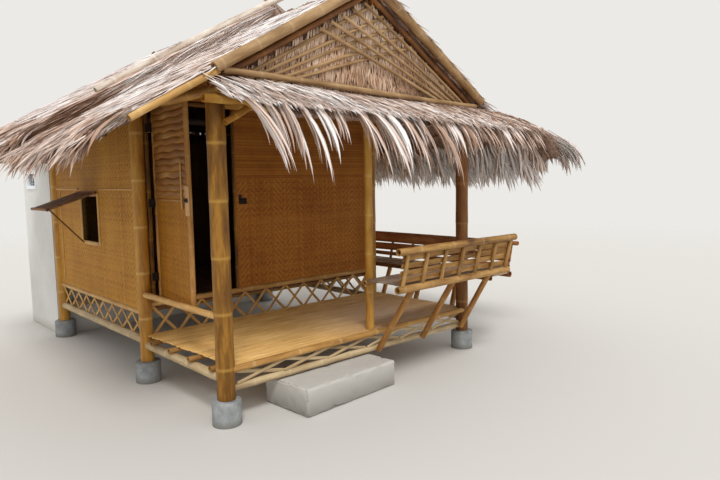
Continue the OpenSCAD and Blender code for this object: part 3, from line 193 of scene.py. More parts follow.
def mattingMaterial(name, across, look):
    made, tree, shader = newMaterial(name)
    place = addNode(tree, "TexCoord").outputs["Object"]
    parts = addNode(tree, "SeparateXYZ", {0: place}).outputs
    u, v = (addNode(tree, "Math", {0: parts[axis], 1: 1 / plait["strip"]}, operation="MULTIPLY")
            for axis in (across, "Z"))
    column, row = (addNode(tree, "Math", {0: way}, operation="FLOOR") for way in (u, v))
    band = addNode(tree, "Math", {0: column, 1: plait["zigzag"] * 2}, operation="FLOORED_MODULO")
    folded = addNode(tree, "Math", {0: band, 1: plait["zigzag"]}, operation="PINGPONG")
    stepped = addNode(tree, "Math", {0: folded, 1: row}, operation="ADD")
    count = addNode(tree, "Math", {0: stepped, 1: plait["repeat"]}, operation="FLOORED_MODULO")
    uprightOver = addNode(tree, "Math", {0: count, 1: plait["over"]}, operation="LESS_THAN")
    if "seam" in look:  # above the seam the mat is plain, with level strips on top
        low = addNode(tree, "Math", {0: parts["Z"], 1: look["seam"]}, operation="LESS_THAN")
        uprightOver = addNode(tree, "Math", {0: uprightOver, 1: low}, operation="MULTIPLY")
    crowns = []
    for way in (u, v):
        share = addNode(tree, "Math", {0: way}, operation="FRACT")
        turned = addNode(tree, "Math", {0: share, 1: math.pi}, operation="MULTIPLY")
        arched = addNode(tree, "Math", {0: turned}, operation="SINE")
        crowns.append(addNode(tree, "Math", {0: arched, 1: plait["crown"]}, operation="POWER"))
    height = addNode(tree, "Mix", {0: uprightOver, 2: crowns[1], 3: crowns[0]})
    tones = []
    for number, seed in zip((column, row), plait["seeds"]):
        stripId = addNode(tree, "CombineXYZ", {0: number, 1: seed})
        chance = addNode(tree, "TexWhiteNoise", {"Vector": stripId}, noise_dimensions="3D")
        tones.append(chance.outputs["Value"])
    lifted = addNode(tree, "Math", {0: tones[0], 1: 0.7, 2: 0.3}, operation="MULTIPLY_ADD")
    lowered = addNode(tree, "Math", {0: tones[1], 1: 0.7}, operation="MULTIPLY")
    tone = addNode(tree, "Mix", {0: uprightOver, 2: lowered, 3: lifted})
    fibrePlace = addNode(tree, "Mapping", {"Vector": place, "Scale": (90, 90, 90)})
    fibres = addNode(tree, "TexNoise", {"Vector": fibrePlace, "Scale": 1.0, "Detail": 4.0,
                                        "Roughness": 0.7}).outputs["Fac"]
    weather = addNode(tree, "TexNoise", {"Vector": place, "Scale": 2.3, "Detail": 5.0,
                                         "Roughness": 0.6}).outputs["Fac"]
    fibreTone = addNode(tree, "Math", {0: fibres, 1: 0.75, 2: -0.36}, operation="MULTIPLY_ADD")
    weatherTone = addNode(tree, "Math", {0: weather, 1: 0.7, 2: -0.2}, operation="MULTIPLY_ADD")
    tone = addNode(tree, "Math", {0: tone, 1: 0.5, 2: fibreTone}, operation="MULTIPLY_ADD")
    tone = addNode(tree, "Math", {0: tone, 1: weatherTone}, operation="ADD")
    ramp = addNode(tree, "ValToRGB", {"Fac": tone})
    setRamp(ramp.color_ramp, [(spot, look[tint]) for spot, tint in plait["stops"]])
    # painted shade: darker where the strips dip into the gaps between them, so the crowns read lighter
    shade = addNode(tree, "MapRange", {"Value": height, "From Min": 0.2, "From Max": 0.85,
                                       "To Min": look["gap"], "To Max": 1.0})
    # painted shade: the cut edges of the mat are darkened
    inward = parts[look["inward"]]
    depth = addNode(tree, "Math", {0: inward, 1: look["half"]}, operation="PINGPONG")
    atCut = addNode(tree, "Math", {0: depth, 1: plait["cutDepth"]}, operation="LESS_THAN")
    cutShade = addNode(tree, "Math", {0: atCut, 1: plait["cutShade"], 2: 1.0}, operation="MULTIPLY_ADD")
    # painted shade: the inner side of the wall is darkened
    fromMiddle = addNode(tree, "Math", {0: inward, 1: look["middleAt"]}, operation="SUBTRACT")
    fromMiddle = addNode(tree, "Math", {0: fromMiddle}, operation="ABSOLUTE")
    inside = addNode(tree, "Math", {0: fromMiddle, 1: look["innerReach"]}, operation="LESS_THAN")
    insideShadeFactor = addNode(tree, "Math", {0: inside, 1: plait["insideShade"], 2: 1.0}, operation="MULTIPLY_ADD")
    insideAndCutShade = addNode(tree, "Math", {0: insideShadeFactor, 1: cutShade}, operation="MULTIPLY")
    fullShade = addNode(tree, "Math", {0: shade, 1: insideAndCutShade}, operation="MULTIPLY")
    shaded = addNode(tree, "VectorMath", {0: ramp, "Scale": fullShade}, operation="SCALE")
    rise = addNode(tree, "Math", {0: fibres, 1: 0.3, 2: height}, operation="MULTIPLY_ADD")
    bump = addNode(tree, "Bump", {"Height": rise, "Strength": 0.7, "Distance": plait["relief"]})
    feedNode(tree, shader, {"Base Color": shaded, "Roughness": 0.62, "IOR": 1.5,
                            "Specular IOR Level": plait["sheen"], "Normal": bump})
    return made


# gap is how dark the painted shade in the gaps between strips goes
goldenMat = {"dark": "#8e5a14", "middle": "#b3791c", "light": "#c68c28", "pale": "#daa63c", "gap": 0.72}
brownMat = {"dark": "#83491a", "middle": "#a7661f", "light": "#bd7a2c", "pale": "#d09340", "gap": 0.8,
            "seam": 1.73}
doorMat = {"dark": "#825010", "middle": "#a66b16", "light": "#b87c20", "pale": "#cc9632", "gap": 0.72}
sideInner = {"inward": "X", "half": 1.35, "middleAt": 1.35, "innerReach": 1.34}
rearInner = {"inward": "Y", "half": 3.5, "middleAt": 2.4, "innerReach": 1.09}
frontInner = {"inward": "Y", "half": 1.3, "middleAt": 2.4, "innerReach": 1.09}
noInner = {"inward": "X", "half": 9.0, "middleAt": 0.0, "innerReach": -1.0}
sideMatting = mattingMaterial("goldenPlaitedMatSide", "Y", {**goldenMat, **sideInner})
rearMatting = mattingMaterial("goldenPlaitedMatRear", "X", {**goldenMat, **rearInner})
frontMatting = mattingMaterial("brownPlaitedMat", "X", {**brownMat, **frontInner})
doorMatting = mattingMaterial("goldenPlaitedMatDoor", "Y", {**doorMat, **noInner})


# Dry palm leaf thatch. Each blade has its own tone in the "leaf" attribute, from brown through pinkish
# beige to bleached white, and fine veins run along it.
def leafMaterial(name, rough, stops):
    made, tree, shader = newMaterial(name)
    leaf = addNode(tree, "Attribute", attribute_name="leaf").outputs["Vector"]
    ownTone = addNode(tree, "SeparateXYZ", {0: leaf}).outputs["X"]
    veinPlace = addNode(tree, "Mapping", {"Vector": leaf, "Scale": (57, 4, 2.6)})
    veins = addNode(tree, "TexNoise", {"Vector": veinPlace, "Scale": 1.0, "Detail": 3.0}).outputs["Fac"]
    veinTone = addNode(tree, "Math", {0: veins, 1: 0.5, 2: -0.25}, operation="MULTIPLY_ADD")
    tone = addNode(tree, "Math", {0: ownTone, 1: veinTone}, operation="ADD")
    ramp = addNode(tree, "ValToRGB", {"Fac": tone})
    setRamp(ramp.color_ramp, stops)
    bump = addNode(tree, "Bump", {"Height": veins, "Strength": 0.4, "Distance": 0.002})
    feedNode(tree, shader, {"Base Color": ramp, "Roughness": rough, "IOR": 1.45, "Normal": bump})
    return made


roofLeaf = leafMaterial("bleachedPalmLeaf", 0.68, (
    (0.02, "#6b4a35"), (0.2, "#ab866c"), (0.4, "#d8bba9"), (0.6, "#efe0d7"), (0.85, "#fdf8f5")))
gableLeaf = leafMaterial("brownPalmLeaf", 0.72, (
    (0.02, "#5f3f2a"), (0.3, "#a37a5a"), (0.6, "#cba586"), (0.95, "#e8ceb4")))


# Streaks along one way with patches of tone over them: the imported leaf under the blades, with painted shade
# in the hollows between its bundles, and sawn planks greyed by weather, with worn pale edges and a mauve
# cast.
# the leaf bed uses its tone as its bump, so its dark hollows are painted shade
bedStreaks = {"detail": 5.0, "fine": 0.68, "patch": 9.0, "patchDetail": 3.0, "share": 0.45, "shift": -0.22,
              "rough": 0.8, "bump": 1.0, "relief": 0.012, "patchBump": True}
plankStreaks = {"detail": 6.0, "fine": 0.65, "patch": 6.0, "patchDetail": 4.0, "share": 0.6, "shift": -0.3,
                "rough": 0.74, "bump": 0.6, "relief": 0.002, "patchBump": False}


def streakedMaterial(name, look, stretch, stops):
    made, tree, shader = newMaterial(name)
    place = addNode(tree, "TexCoord").outputs["Object"]
    streakPlace = addNode(tree, "Mapping", {"Vector": place, "Scale": stretch})
    streaks = addNode(tree, "TexNoise", {"Vector": streakPlace, "Scale": 1.0, "Detail": look["detail"],
                                         "Roughness": look["fine"]}).outputs["Fac"]
    patches = addNode(tree, "TexNoise", {"Vector": place, "Scale": look["patch"],
                                         "Detail": look["patchDetail"]}).outputs["Fac"]
    tone = addNode(tree, "Math", {0: patches, 1: look["share"], 2: look["shift"]}, operation="MULTIPLY_ADD")
    tone = addNode(tree, "Math", {0: streaks, 1: tone}, operation="ADD")
    ramp = addNode(tree, "ValToRGB", {"Fac": tone})
    setRamp(ramp.color_ramp, stops)
    bump = addNode(tree, "Bump", {"Height": tone if look["patchBump"] else streaks, "Strength": look["bump"],
                                  "Distance": look["relief"]})
    feedNode(tree, shader, {"Base Color": ramp, "Roughness": look["rough"], "Normal": bump})
    return made


bedStops = ((0.3, "#3d281d"), (0.45, "#7a5a45"), (0.6, "#b49684"), (0.78, "#dac6b8"))
# the gable infill is painted near black, painted shade behind the gable leaves and under the verges
gableBedStops = ((0.3, "#241308"), (0.5, "#4a3020"), (0.75, "#7a5a44"))
roofBedLook = streakedMaterial("packedPalmLeaf", bedStreaks, (4, 170, 4), bedStops)
gableBedLook = streakedMaterial("packedGableLeaf", bedStreaks, (150, 150, 5), gableBedStops)
awningBedLook = streakedMaterial("packedAwningLeaf", bedStreaks, (170, 5, 5), bedStops)


# Cast concrete, limewashed by splashes: 8 mm grit, pale bloom, and a band darker towards the ground: grime,
# and on the step painted shade on its side faces.
def concreteMaterial(name, look, stops):
    made, tree, shader = newMaterial(name)
    place = addNode(tree, "TexCoord").outputs["Object"]
    grit = addNode(tree, "TexNoise", {"Vector": place, "Scale": 120.0, "Detail": 4.0,
                                      "Roughness": 0.7}).outputs["Fac"]
    clouds = addNode(tree, "TexNoise", {"Vector": place, "Scale": look["cloud"], "Detail": 6.0,
                                        "Roughness": 0.6}).outputs["Fac"]
    tone = addNode(tree, "Math", {0: grit, 1: 0.3, 2: -0.15}, operation="MULTIPLY_ADD")
    tone = addNode(tree, "Math", {0: clouds, 1: tone}, operation="ADD")
    ramp = addNode(tree, "ValToRGB", {"Fac": tone})
    setRamp(ramp.color_ramp, stops)
    height = addNode(tree, "SeparateXYZ", {0: place}).outputs["Z"]
    # darker towards the ground: grime, and on the step painted shade on its side faces
    ragged = addNode(tree, "Math", {0: clouds, 1: -look["lowGrimeAndShade"], 2: height}, operation="MULTIPLY_ADD")
    lowGrimeAndShade = addNode(tree, "MapRange", {"Value": ragged, "From Min": -look["lowGrimeAndShade"] * 0.5,
                                        "From Max": look["lowGrimeAndShade"] * 0.6, "To Min": 0.75,
                                        "To Max": 0.0})
    grimeAndShadeMixed = addNode(tree, "Mix", {0: lowGrimeAndShade, 6: ramp, 7: hexColour(look["grimeAndShadeColour"])},
                    data_type="RGBA").outputs[2]
    bump = addNode(tree, "Bump", {"Height": grit, "Strength": look["relief"], "Distance": 0.0025})
    feedNode(tree, shader, {"Base Color": grimeAndShadeMixed, "Roughness": look["rough"], "Normal": bump})
    return made


# the step's band near the ground is painted shade on its side faces
stepConcrete = concreteMaterial(
    "castStepConcrete", {"cloud": 3.2, "rough": 0.88, "relief": 0.4, "lowGrimeAndShade": 0.2, "grimeAndShadeColour": "#6e685e"},
    ((0.2, "#b3afa8"), (0.45, "#c3bfb8"), (0.62, "#cecbc5"), (0.8, "#d8d6d1")))
footConcrete = concreteMaterial(
    "castFootingConcrete", {"cloud": 11.0, "rough": 0.85, "relief": 0.4, "lowGrimeAndShade": 0.05, "grimeAndShadeColour": "#6c6658"},
    ((0.25, "#727575"), (0.45, "#898c8c"), (0.62, "#9b9e9d"), (0.8, "#aeb1b0")))
annexPlaster = concreteMaterial(
    "paintedAnnexPlaster", {"cloud": 1.6, "rough": 0.78, "relief": 0.25, "lowGrimeAndShade": 0.1, "grimeAndShadeColour": "#b3aca0"},
    ((0.2, "#c6c5c0"), (0.42, "#d3d2cc"), (0.62, "#deddd8"), (0.85, "#eae9e6")))
# White enamelled aluminium is as even as plaster with hardly any grit, and smoother
frameEnamel = concreteMaterial(
    "whiteFrameEnamel", {"cloud": 14.0, "rough": 0.4, "relief": 0.05, "lowGrimeAndShade": 0.01, "grimeAndShadeColour": "#d8dcdf"},
    ((0.2, "#dfe4e8"), (0.5, "#eef1f4"), (0.8, "#f7f9fa")))


seatPlank = streakedMaterial("weatheredSeatPlank", plankStreaks, (5, 130, 130), (
    (0.25, "#5e4937"), (0.45, "#826a55"), (0.62, "#9d8672"), (0.82, "#b39f8d")))
# the side planks are painted lighter than the front ones, painted light for their lit tops
sidePlank = streakedMaterial("brownSidePlank", plankStreaks, (130, 5, 130), (
    (0.25, "#77604a"), (0.45, "#a2886f"), (0.62, "#bda58c"), (0.82, "#cfbaa6")))
floorBoard = streakedMaterial("roomFloorBoard", plankStreaks, (5, 90, 90), (
    (0.25, "#3d2517"), (0.45, "#5e3c26"), (0.62, "#7b5236"), (0.82, "#99704f")))
latchWood = streakedMaterial("sawnLatchWood", plankStreaks, (160, 160, 9), (
    (0.2, "#a9784a"), (0.45, "#c99a66"), (0.65, "#dab281"), (0.85, "#e8c89c")))
shutterWood = streakedMaterial("weatheredShutterBoard", plankStreaks, (9, 90, 90), (
    (0.25, "#4c3220"), (0.45, "#6b4a30"), (0.62, "#876445"), (0.82, "#a68463")))


# Rusted mild steel of the hinges, the bolt and the staple: dark brown with orange bloom in 7 mm spots.
def steelMaterial():
    made, tree, shader = newMaterial("rustedMildSteel")
    place = addNode(tree, "TexCoord").outputs["Object"]
    rust = addNode(tree, "TexNoise", {"Vector": place, "Scale": 140.0, "Detail": 5.0,
                                      "Roughness": 0.7}).outputs["Fac"]
    ramp = addNode(tree, "ValToRGB", {"Fac": rust})
    setRamp(ramp.color_ramp, ((0.35, "#1d1a18"), (0.55, "#35291f"), (0.72, "#6b3f22")))
    rough = addNode(tree, "MapRange", {"Value": rust, "To Min": 0.35, "To Max": 0.9})
    bump = addNode(tree, "Bump", {"Height": rust, "Strength": 0.4, "Distance": 0.0008})
    feedNode(tree, shader, {"Base Color": ramp, "Metallic": 0.6, "Roughness": rough, "Normal": bump})
    return made


rustedSteel = steelMaterial()


# Clear float glass of the louvres, dulled by dust.
def glassMaterial():
    made, tree, shader = newMaterial("louvreGlass")
    place = addNode(tree, "TexCoord").outputs["Object"]
    dust = addNode(tree, "TexNoise", {"Vector": place, "Scale": 30.0, "Detail": 3.0}).outputs["Fac"]
    rough = addNode(tree, "MapRange", {"Value": dust, "To Min": 0.03, "To Max": 0.22})
    feedNode(tree, shader, {"Base Color": hexColour("#dfeaea"), "Roughness": rough, "IOR": 1.5,
                            "Transmission Weight": 0.85})
    return made


louvreGlass = glassMaterial()
print("materials made")


# Tools for the pieces
def alone(piece):
    bpy.ops.object.select_all(action="DESELECT")
    piece.select_set(True)
    bpy.context.view_layer.objects.active = piece


def startFrom(primitive, **settings):  # a primitive at its size and place
    bpy.ops.object.select_all(action="DESELECT")
    primitive(**settings)
    bpy.ops.object.transform_apply(location=True, rotation=True, scale=True)
    return bpy.context.object


def cutAcross(at, normal, **clear):  # a cut through the whole mesh in edit mode
    bpy.ops.mesh.select_all(action="SELECT")
    bpy.ops.mesh.bisect(plane_co=at, plane_no=normal, **clear)


def roundEdges(piece, radius, segments=2):
    worn = piece.modifiers.new("worn", "BEVEL")
    worn.width = radius
    worn.segments = segments
    bpy.ops.object.modifier_apply(modifier="worn")


def copyOf(pattern, name):  # each copy has its own mesh
    made = bpy.data.objects.new(name, pattern.data.copy())
    bpy.context.scene.collection.objects.link(made)
    return made


def cornersOf(mesh):
    points = np.empty(len(mesh.vertices) * 3)
    mesh.vertices.foreach_get("co", points)
    return points.reshape(-1, 3)


def setCorners(mesh, points):
    mesh.vertices.foreach_set("co", np.asarray(points, float).ravel())
    mesh.update()


def setMark(mesh, name, kind, values):
    mark = mesh.attributes.get(name) or mesh.attributes.new(name, kind, "POINT")
    mark.data.foreach_set("vector" if kind == "FLOAT_VECTOR" else "value",
                          np.asarray(values, np.float32).ravel())


def markCulm(mesh, points, firstRing, gap, reach, share):  # where the fibres lie, and how pale the rings are
    setMark(mesh, "grain", "FLOAT_VECTOR", points + dice.uniform(0, 40, 3))
    nearRing = np.abs(((points[:, 2] - firstRing) / gap + 0.5) % 1 - 0.5) * gap
    setMark(mesh, "ring", "FLOAT", share * np.clip(1 - nearRing / reach, 0, 1))


def finishPiece(parts, name, material, body="house", replaces=(), smooth=40):
    alone(parts[0])
    for part in parts[1:]:
        part.select_set(True)
    if len(parts) > 1:
        bpy.ops.object.join()
    piece = bpy.context.view_layer.objects.active
    piece.name = name
    piece.data.name = name
    piece.data.materials.clear()
    piece.data.materials.append(material)
    if smooth:
        bpy.ops.object.shade_smooth_by_angle(angle=math.radians(smooth))
    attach(piece, body)
    if replaces:
        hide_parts(*replaces)
    return piece


# One long culm in a row of equal internodes, one unit long and one in radius; poles are cut from copies
culmPattern = {
    "rings": ((0.017, 1.035), (0.045, 1.0), (0.5, 0.975), (0.955, 0.995), (0.983, 1.03)),
    "slimRings": ((0.02, 1.06), (0.5, 0.97), (0.98, 1.05)),
    "joints": 18, "stoutSides": 20, "middleSides": 14, "slimSides": 8, "stoutFrom": 0.1, "middleFrom": 0.036,
    "gap": (0.30, 0.42), "firstRing": 0.05, "ringReach": 0.02, "wall": 0.24, "hollow": 1.2,
}


def modelCulm(sides, rings):
    culm = startFrom(bpy.ops.mesh.primitive_cylinder_add, vertices=sides, radius=1, depth=1,
                     end_fill_type="NOTHING", location=(0, 0, 0.5))
    bpy.ops.object.mode_set(mode="EDIT")
    for height, girth in rings:
        cutAcross((0, 0, height), (0, 0, 1))
        bpy.ops.transform.resize(value=(girth, girth, 1), center_override=(0, 0, height))
    bpy.ops.object.mode_set(mode="OBJECT")
    row = culm.modifiers.new("row", "ARRAY")
    row.count = culmPattern["joints"]
    row.use_relative_offset = False
    row.use_constant_offset = True
    row.constant_offset_displace = (0, 0, 1)
    row.use_merge_vertices = True
    row.merge_threshold = 0.001
    bpy.ops.object.modifier_apply(modifier="row")
    return culm


culms = {kind: modelCulm(culmPattern[kind + "Sides"], culmPattern[rings])
         for kind, rings in (("stout", "rings"), ("middle", "rings"), ("slim", "slimRings"))}


def cutEnd(height, keepAbove, girth, hollow):  # trims a culm and hollows its end down to the next node wall
    cutAcross((0, 0, height), (0, 0, 1), use_fill=True, clear_inner=keepAbove, clear_outer=not keepAbove)
    if hollow:
        bpy.ops.mesh.inset(thickness=girth * culmPattern["wall"])
        inward = girth * culmPattern["hollow"] * (1 if keepAbove else -1)
        bpy.ops.mesh.extrude_region_move(TRANSFORM_OT_translate={"value": (0, 0, inward)})


def pole(start, end, thick, firstRing=None, gap=None, hollow=True, bow=0.002):
    start, end = Vector(start), Vector(end)
    length = (end - start).length
    girth = thick / 2
    thin = "middle" if thick >= culmPattern["middleFrom"] else "slim"
    kind = "stout" if thick >= culmPattern["stoutFrom"] else thin
    gap = gap or float(dice.uniform(*culmPattern["gap"]))
    if firstRing is None:
        firstRing = float(dice.uniform(culmPattern["firstRing"], gap))
    piece = copyOf(culms[kind], "pole")
    mesh = piece.data
    mesh.transform(Matrix.Translation((0, 0, firstRing - gap)) @ Matrix.Diagonal((girth, girth, gap, 1)))
    alone(piece)
    bpy.ops.object.mode_set(mode="EDIT")
    cutEnd(0, True, girth, hollow)
    cutEnd(length, False, girth, hollow)
    bpy.ops.object.mode_set(mode="OBJECT")
    points = cornersOf(mesh)
    along = points[:, 2] / length
    faint = min(1, 0.25 + thick * 6)  # the rings of slim poles hardly show
    markCulm(mesh, points, firstRing, gap, culmPattern["ringReach"], faint)
    swing = dice.uniform(0, 2 * math.pi)
    points[:, 0] += bow * math.cos(swing) * np.sin(math.pi * along) + 0.4 * bow * np.sin(5.1 * along + swing)
    points[:, 1] += bow * math.sin(swing) * np.sin(math.pi * along)
    setCorners(mesh, points)
    spin = Matrix.Rotation(dice.uniform(0, 2 * math.pi), 4, "Z")
    toWay = (end - start).to_track_quat("Z", "Y").to_matrix().to_4x4()
    mesh.transform(Matrix.Translation(start) @ toWay @ spin)
    return piece


# A half-round strip split from a culm, one unit long, its skin towards +Y
splitPattern = {"sides": 12, "flatAt": -0.12, "cuts": (0.2, 0.4, 0.6, 0.8),
                "wide": (0.9, 1.05), "thick": (0.85, 1.05), "gap": (0.28, 0.4), "firstRing": 0.05,
                "ringReach": 0.016, "ringShare": 0.6}


def modelSplit():
    flatAt = splitPattern["flatAt"]
    split = startFrom(bpy.ops.mesh.primitive_cylinder_add, vertices=splitPattern["sides"], radius=0.5,
                      depth=1, location=(0, 0, 0.5))
    bpy.ops.object.mode_set(mode="EDIT")
    cutAcross((0, flatAt, 0), (0, 1, 0), clear_inner=True, use_fill=True)
    for height in splitPattern["cuts"]:
        cutAcross((0, 0, height), (0, 0, 1))
    bpy.ops.object.mode_set(mode="OBJECT")
    points = cornersOf(split.data)
    points[:, 1] = (points[:, 1] - flatAt) / (0.5 - flatAt)
    setCorners(split.data, points)
    return split


splitMaster = modelSplit()


def strip(start, end, wide, thick, facing, wobble=0.0015):  # facing is the way its skin looks
    start, end, facing = Vector(start), Vector(end), Vector(facing)
    length = (end - start).length
    piece = copyOf(splitMaster, "strip")
    mesh = piece.data
    points = cornersOf(mesh)
    heights = np.round(points[:, 2], 3)
    for height in np.unique(heights):
        at = heights == height
        points[at, 0] *= dice.uniform(*splitPattern["wide"])
        points[at, 0] += dice.uniform(-1, 1) * wobble / wide
        points[at, 1] *= dice.uniform(*splitPattern["thick"])
    points *= (wide, thick, length)
    setCorners(mesh, points)
    gap = float(dice.uniform(*splitPattern["gap"]))
    firstRing = float(dice.uniform(splitPattern["firstRing"], gap))
    markCulm(mesh, points, firstRing, gap, splitPattern["ringReach"], splitPattern["ringShare"])
    along = (end - start).normalized()
    skin = (facing - along * facing.dot(along)).normalized()
    turned = Matrix((skin.cross(along), skin, along)).transposed().to_4x4()
    mesh.transform(Matrix.Translation(start) @ turned)
    return piece


# A sawn board with worn edges that is never quite straight
boardCuts = (0.2, 0.4, 0.6, 0.8)


def axisPoint(axis, value):
    point = [0, 0, 0]
    point[axis] = value
    return point


def board(low, high, edge=0.004, sag=0.002):
    low, high = Vector(low), Vector(high)
    piece = startFrom(bpy.ops.mesh.primitive_cube_add, size=1, location=(low + high) / 2, scale=high - low)
    long = max(range(3), key=lambda k: high[k] - low[k])
    bpy.ops.object.mode_set(mode="EDIT")
    for part in boardCuts:
        at = low.copy()
        at[long] = low[long] + part * (high[long] - low[long])
        cutAcross(at, axisPoint(long, 1))
        move = [float(dice.uniform(-sag, sag)) for _ in range(3)]
        move[long] = 0
        bpy.ops.transform.translate(value=move)
    bpy.ops.object.mode_set(mode="OBJECT")
    roundEdges(piece, edge)
    return piece


# Posts: their rings stand where the part's own rings stand
posts = {"gap": 0.39, "first": 0.40, "shift": 0.075, "top": 2.275, "bow": 0.0015,
         "leftThick": 0.13, "rightThick": 0.12, "roomThick": 0.11, "roomDepth": 2.2}
slimPost = {"place": (1.44, 0.025), "thick": 0.07, "ringGap": 0.33}


def post(x, y, thick, number):
    firstRing = posts["first"] + (number * posts["shift"]) % (posts["gap"] / 2) - house["footTop"]
    return pole((x, y, house["footTop"]), (x, y, posts["top"]), thick, firstRing, posts["gap"],
                hollow=False, bow=posts["bow"])


finishPiece([post(0, 0, posts["leftThick"], 0)], "frontLeftPost", bamboo["stainedBamboo"])
finishPiece([post(width, 0, posts["rightThick"], 1)], "frontRightPost", bamboo["brownBamboo"],
            replaces=("porch_posts",))
roomPosts = [post(i * width, wallY + j * posts["roomDepth"], posts["roomThick"], 2 + i + 2 * j)
             for i in (0, 1) for j in (0, 1)]
finishPiece(roomPosts, "roomPosts", bamboo["goldenBamboo"], replaces=("room_posts",))
onDeck = pole((*slimPost["place"], house["deckTop"]), (*slimPost["place"], house["porchTieZ"]),
              slimPost["thick"], slimPost["ringGap"], slimPost["ringGap"], hollow=False)
finishPiece([onDeck], "slimPost", bamboo["goldenBamboo"], replaces=("slim_post",))
print("posts made")

# Beams, joists and rails of the base
base = {
    "beamThick": 0.07, "roomBeamZ": 0.35, "porchBeamZ": 0.3174, "frontBeamZ": 0.245, "frontBeamThick": 0.055,
    "joistZ": 0.3752, "joistThick": 0.045, "joistPast": 0.05, "joists": (0.13, 0.4533, 0.7767, 1.1),
    "edgePole": (-0.028, 0.388), "handrail": (-0.01, 0.758), "railThick": 0.05,
    "railZ": 0.59, "frontRailZ": 0.665, "floorJoists": (1.45, 2.0833, 2.7167, 3.35),
}
sides = (0, width)


def lengthways(x, y0, y1, z, thick, **more):
    return pole((x, y0, z), (x, y1, z), thick, **more)


def crossways(x0, x1, y, z, thick, **more):
    return pole((x0, y, z), (x1, y, z), thick, **more)


beams = []
for x in sides:
    beams.append(lengthways(x, 0, wallY, base["porchBeamZ"], base["beamThick"]))
    beams.append(lengthways(x, wallY, rearY, base["roomBeamZ"], base["beamThick"]))
beams += [crossways(0, width, y, base["roomBeamZ"], base["beamThick"]) for y in (wallY, rearY)]
beams.append(crossways(0, width, 0, base["frontBeamZ"], base["frontBeamThick"]))
finishPiece(beams, "lowBeams", bamboo["weatheredBamboo"], replaces=("lower_beams",))
joists = [crossways(-base["joistPast"], width + base["joistPast"], y, base["joistZ"], base["joistThick"])
          for y in base["joists"]]
finishPiece(joists, "deckJoists", bamboo["benchBamboo"], replaces=("deck_joists",))
edgePole = crossways(0, width, *base["edgePole"], base["railThick"])
finishPiece([edgePole], "deckEdgePole", bamboo["paleBamboo"])
handrailX, handrailZ = base["handrail"]
handrail = lengthways(handrailX, 0, wallY, handrailZ, base["railThick"])
finishPiece([handrail], "handrailPole", bamboo["paleBamboo"], replaces=("handrail",))
rails = [lengthways(x, wallY, rearY, base["railZ"], base["railThick"]) for x in sides]
rails.append(crossways(0, width, rearY, base["railZ"], base["railThick"]))
rails.append(crossways(0, width, wallY, base["frontRailZ"], base["railThick"]))
rails += [crossways(0, width, y, base["railZ"], base["railThick"]) for y in base["floorJoists"]]
finishPiece(rails, "floorRails", bamboo["paleBamboo"], replaces=("floor_rails",))
print("base poles made")

# The frame under the roof
top = {
    "ends": (-0.117, 3.645), "plateX": (-0.02, 2.72), "plateThick": 0.07, "ridgeZ": 3.101, "ridgeThick": 0.07,
    "tieThick": 0.062, "tieY": (1.3863, 3.4137), "frontTieX": (-0.14, 2.84), "roomTieX": (-0.09, 2.79),
    "kingThick": 0.06, "rafterGap": 0.62013, "rafterCount": 7, "rafterThick": 0.045, "rafterDepth": 0.0981,
    "rafterTop": -0.03, "rafterEnd": 2.2, "frontRafterEnd": 1.45,
    "purlinCount": 7, "purlinFrom": 0.13, "purlinGap": 0.33333, "purlinDepth": 0.0628, "purlinThick": 0.025,
}
plates = [lengthways(x, *top["ends"], house["plateZ"], top["plateThick"]) for x in top["plateX"]]
finishPiece(plates, "sidePlates", bamboo["goldenBamboo"], replaces=("side_plates",))
porchTies = [crossways(*top["frontTieX"], house["frontPlateY"], house["tieZ"], top["tieThick"]),
             crossways(0, width, 0, house["porchTieZ"], top["tieThick"], hollow=False)]
roomTies = [crossways(*top["roomTieX"], y, house["tieZ"], top["tieThick"]) for y in top["tieY"]]
finishPiece(porchTies, "porchBeams", bamboo["goldenBamboo"], replaces=("cross_beams",))
# the room ties and king posts are painted near black, painted shade inside the room
finishPiece(roomTies, "roomBeams", bamboo["interiorShadeBamboo"])
kings = [pole((midX, y, house["tieZ"]), (midX, y, top["ridgeZ"]), top["kingThick"], hollow=False)
         for y in top["tieY"]]
finishPiece(kings, "kingPosts", bamboo["interiorShadeBamboo"], replaces=("king_posts",))
brace = {"y": -0.0878, "footIn": 0.0205, "footZ": 2.0937, "headIn": 0.275, "thick": 0.045}
braces = [pole((midX + side * (midX - brace["footIn"]), brace["y"], brace["footZ"]),
               (midX + side * (midX - brace["headIn"]), brace["y"], house["tieZ"]), brace["thick"])
          for side in (-1, 1)]
finishPiece(braces, "kneeBraces", bamboo["goldenBamboo"], replaces=("knee_braces",))


def slopePole(side, y, depth, fromU, toU, thick, **more):
    return pole((midX + side * fromU, y, roofHeight(fromU, depth)),
                (midX + side * toU, y, roofHeight(toU, depth)), thick, **more)


rafters = [slopePole(side, house["frontPlateY"] + i * top["rafterGap"], top["rafterDepth"], top["rafterTop"],
                     top["rafterEnd"] if i else top["frontRafterEnd"], top["rafterThick"])
           for side in (-1, 1) for i in range(top["rafterCount"])]
# the rafters are painted dark brown, painted shade under the verges and the thatch
finishPiece(rafters, "roofRafters", bamboo["brownBamboo"], replaces=("rafters",))
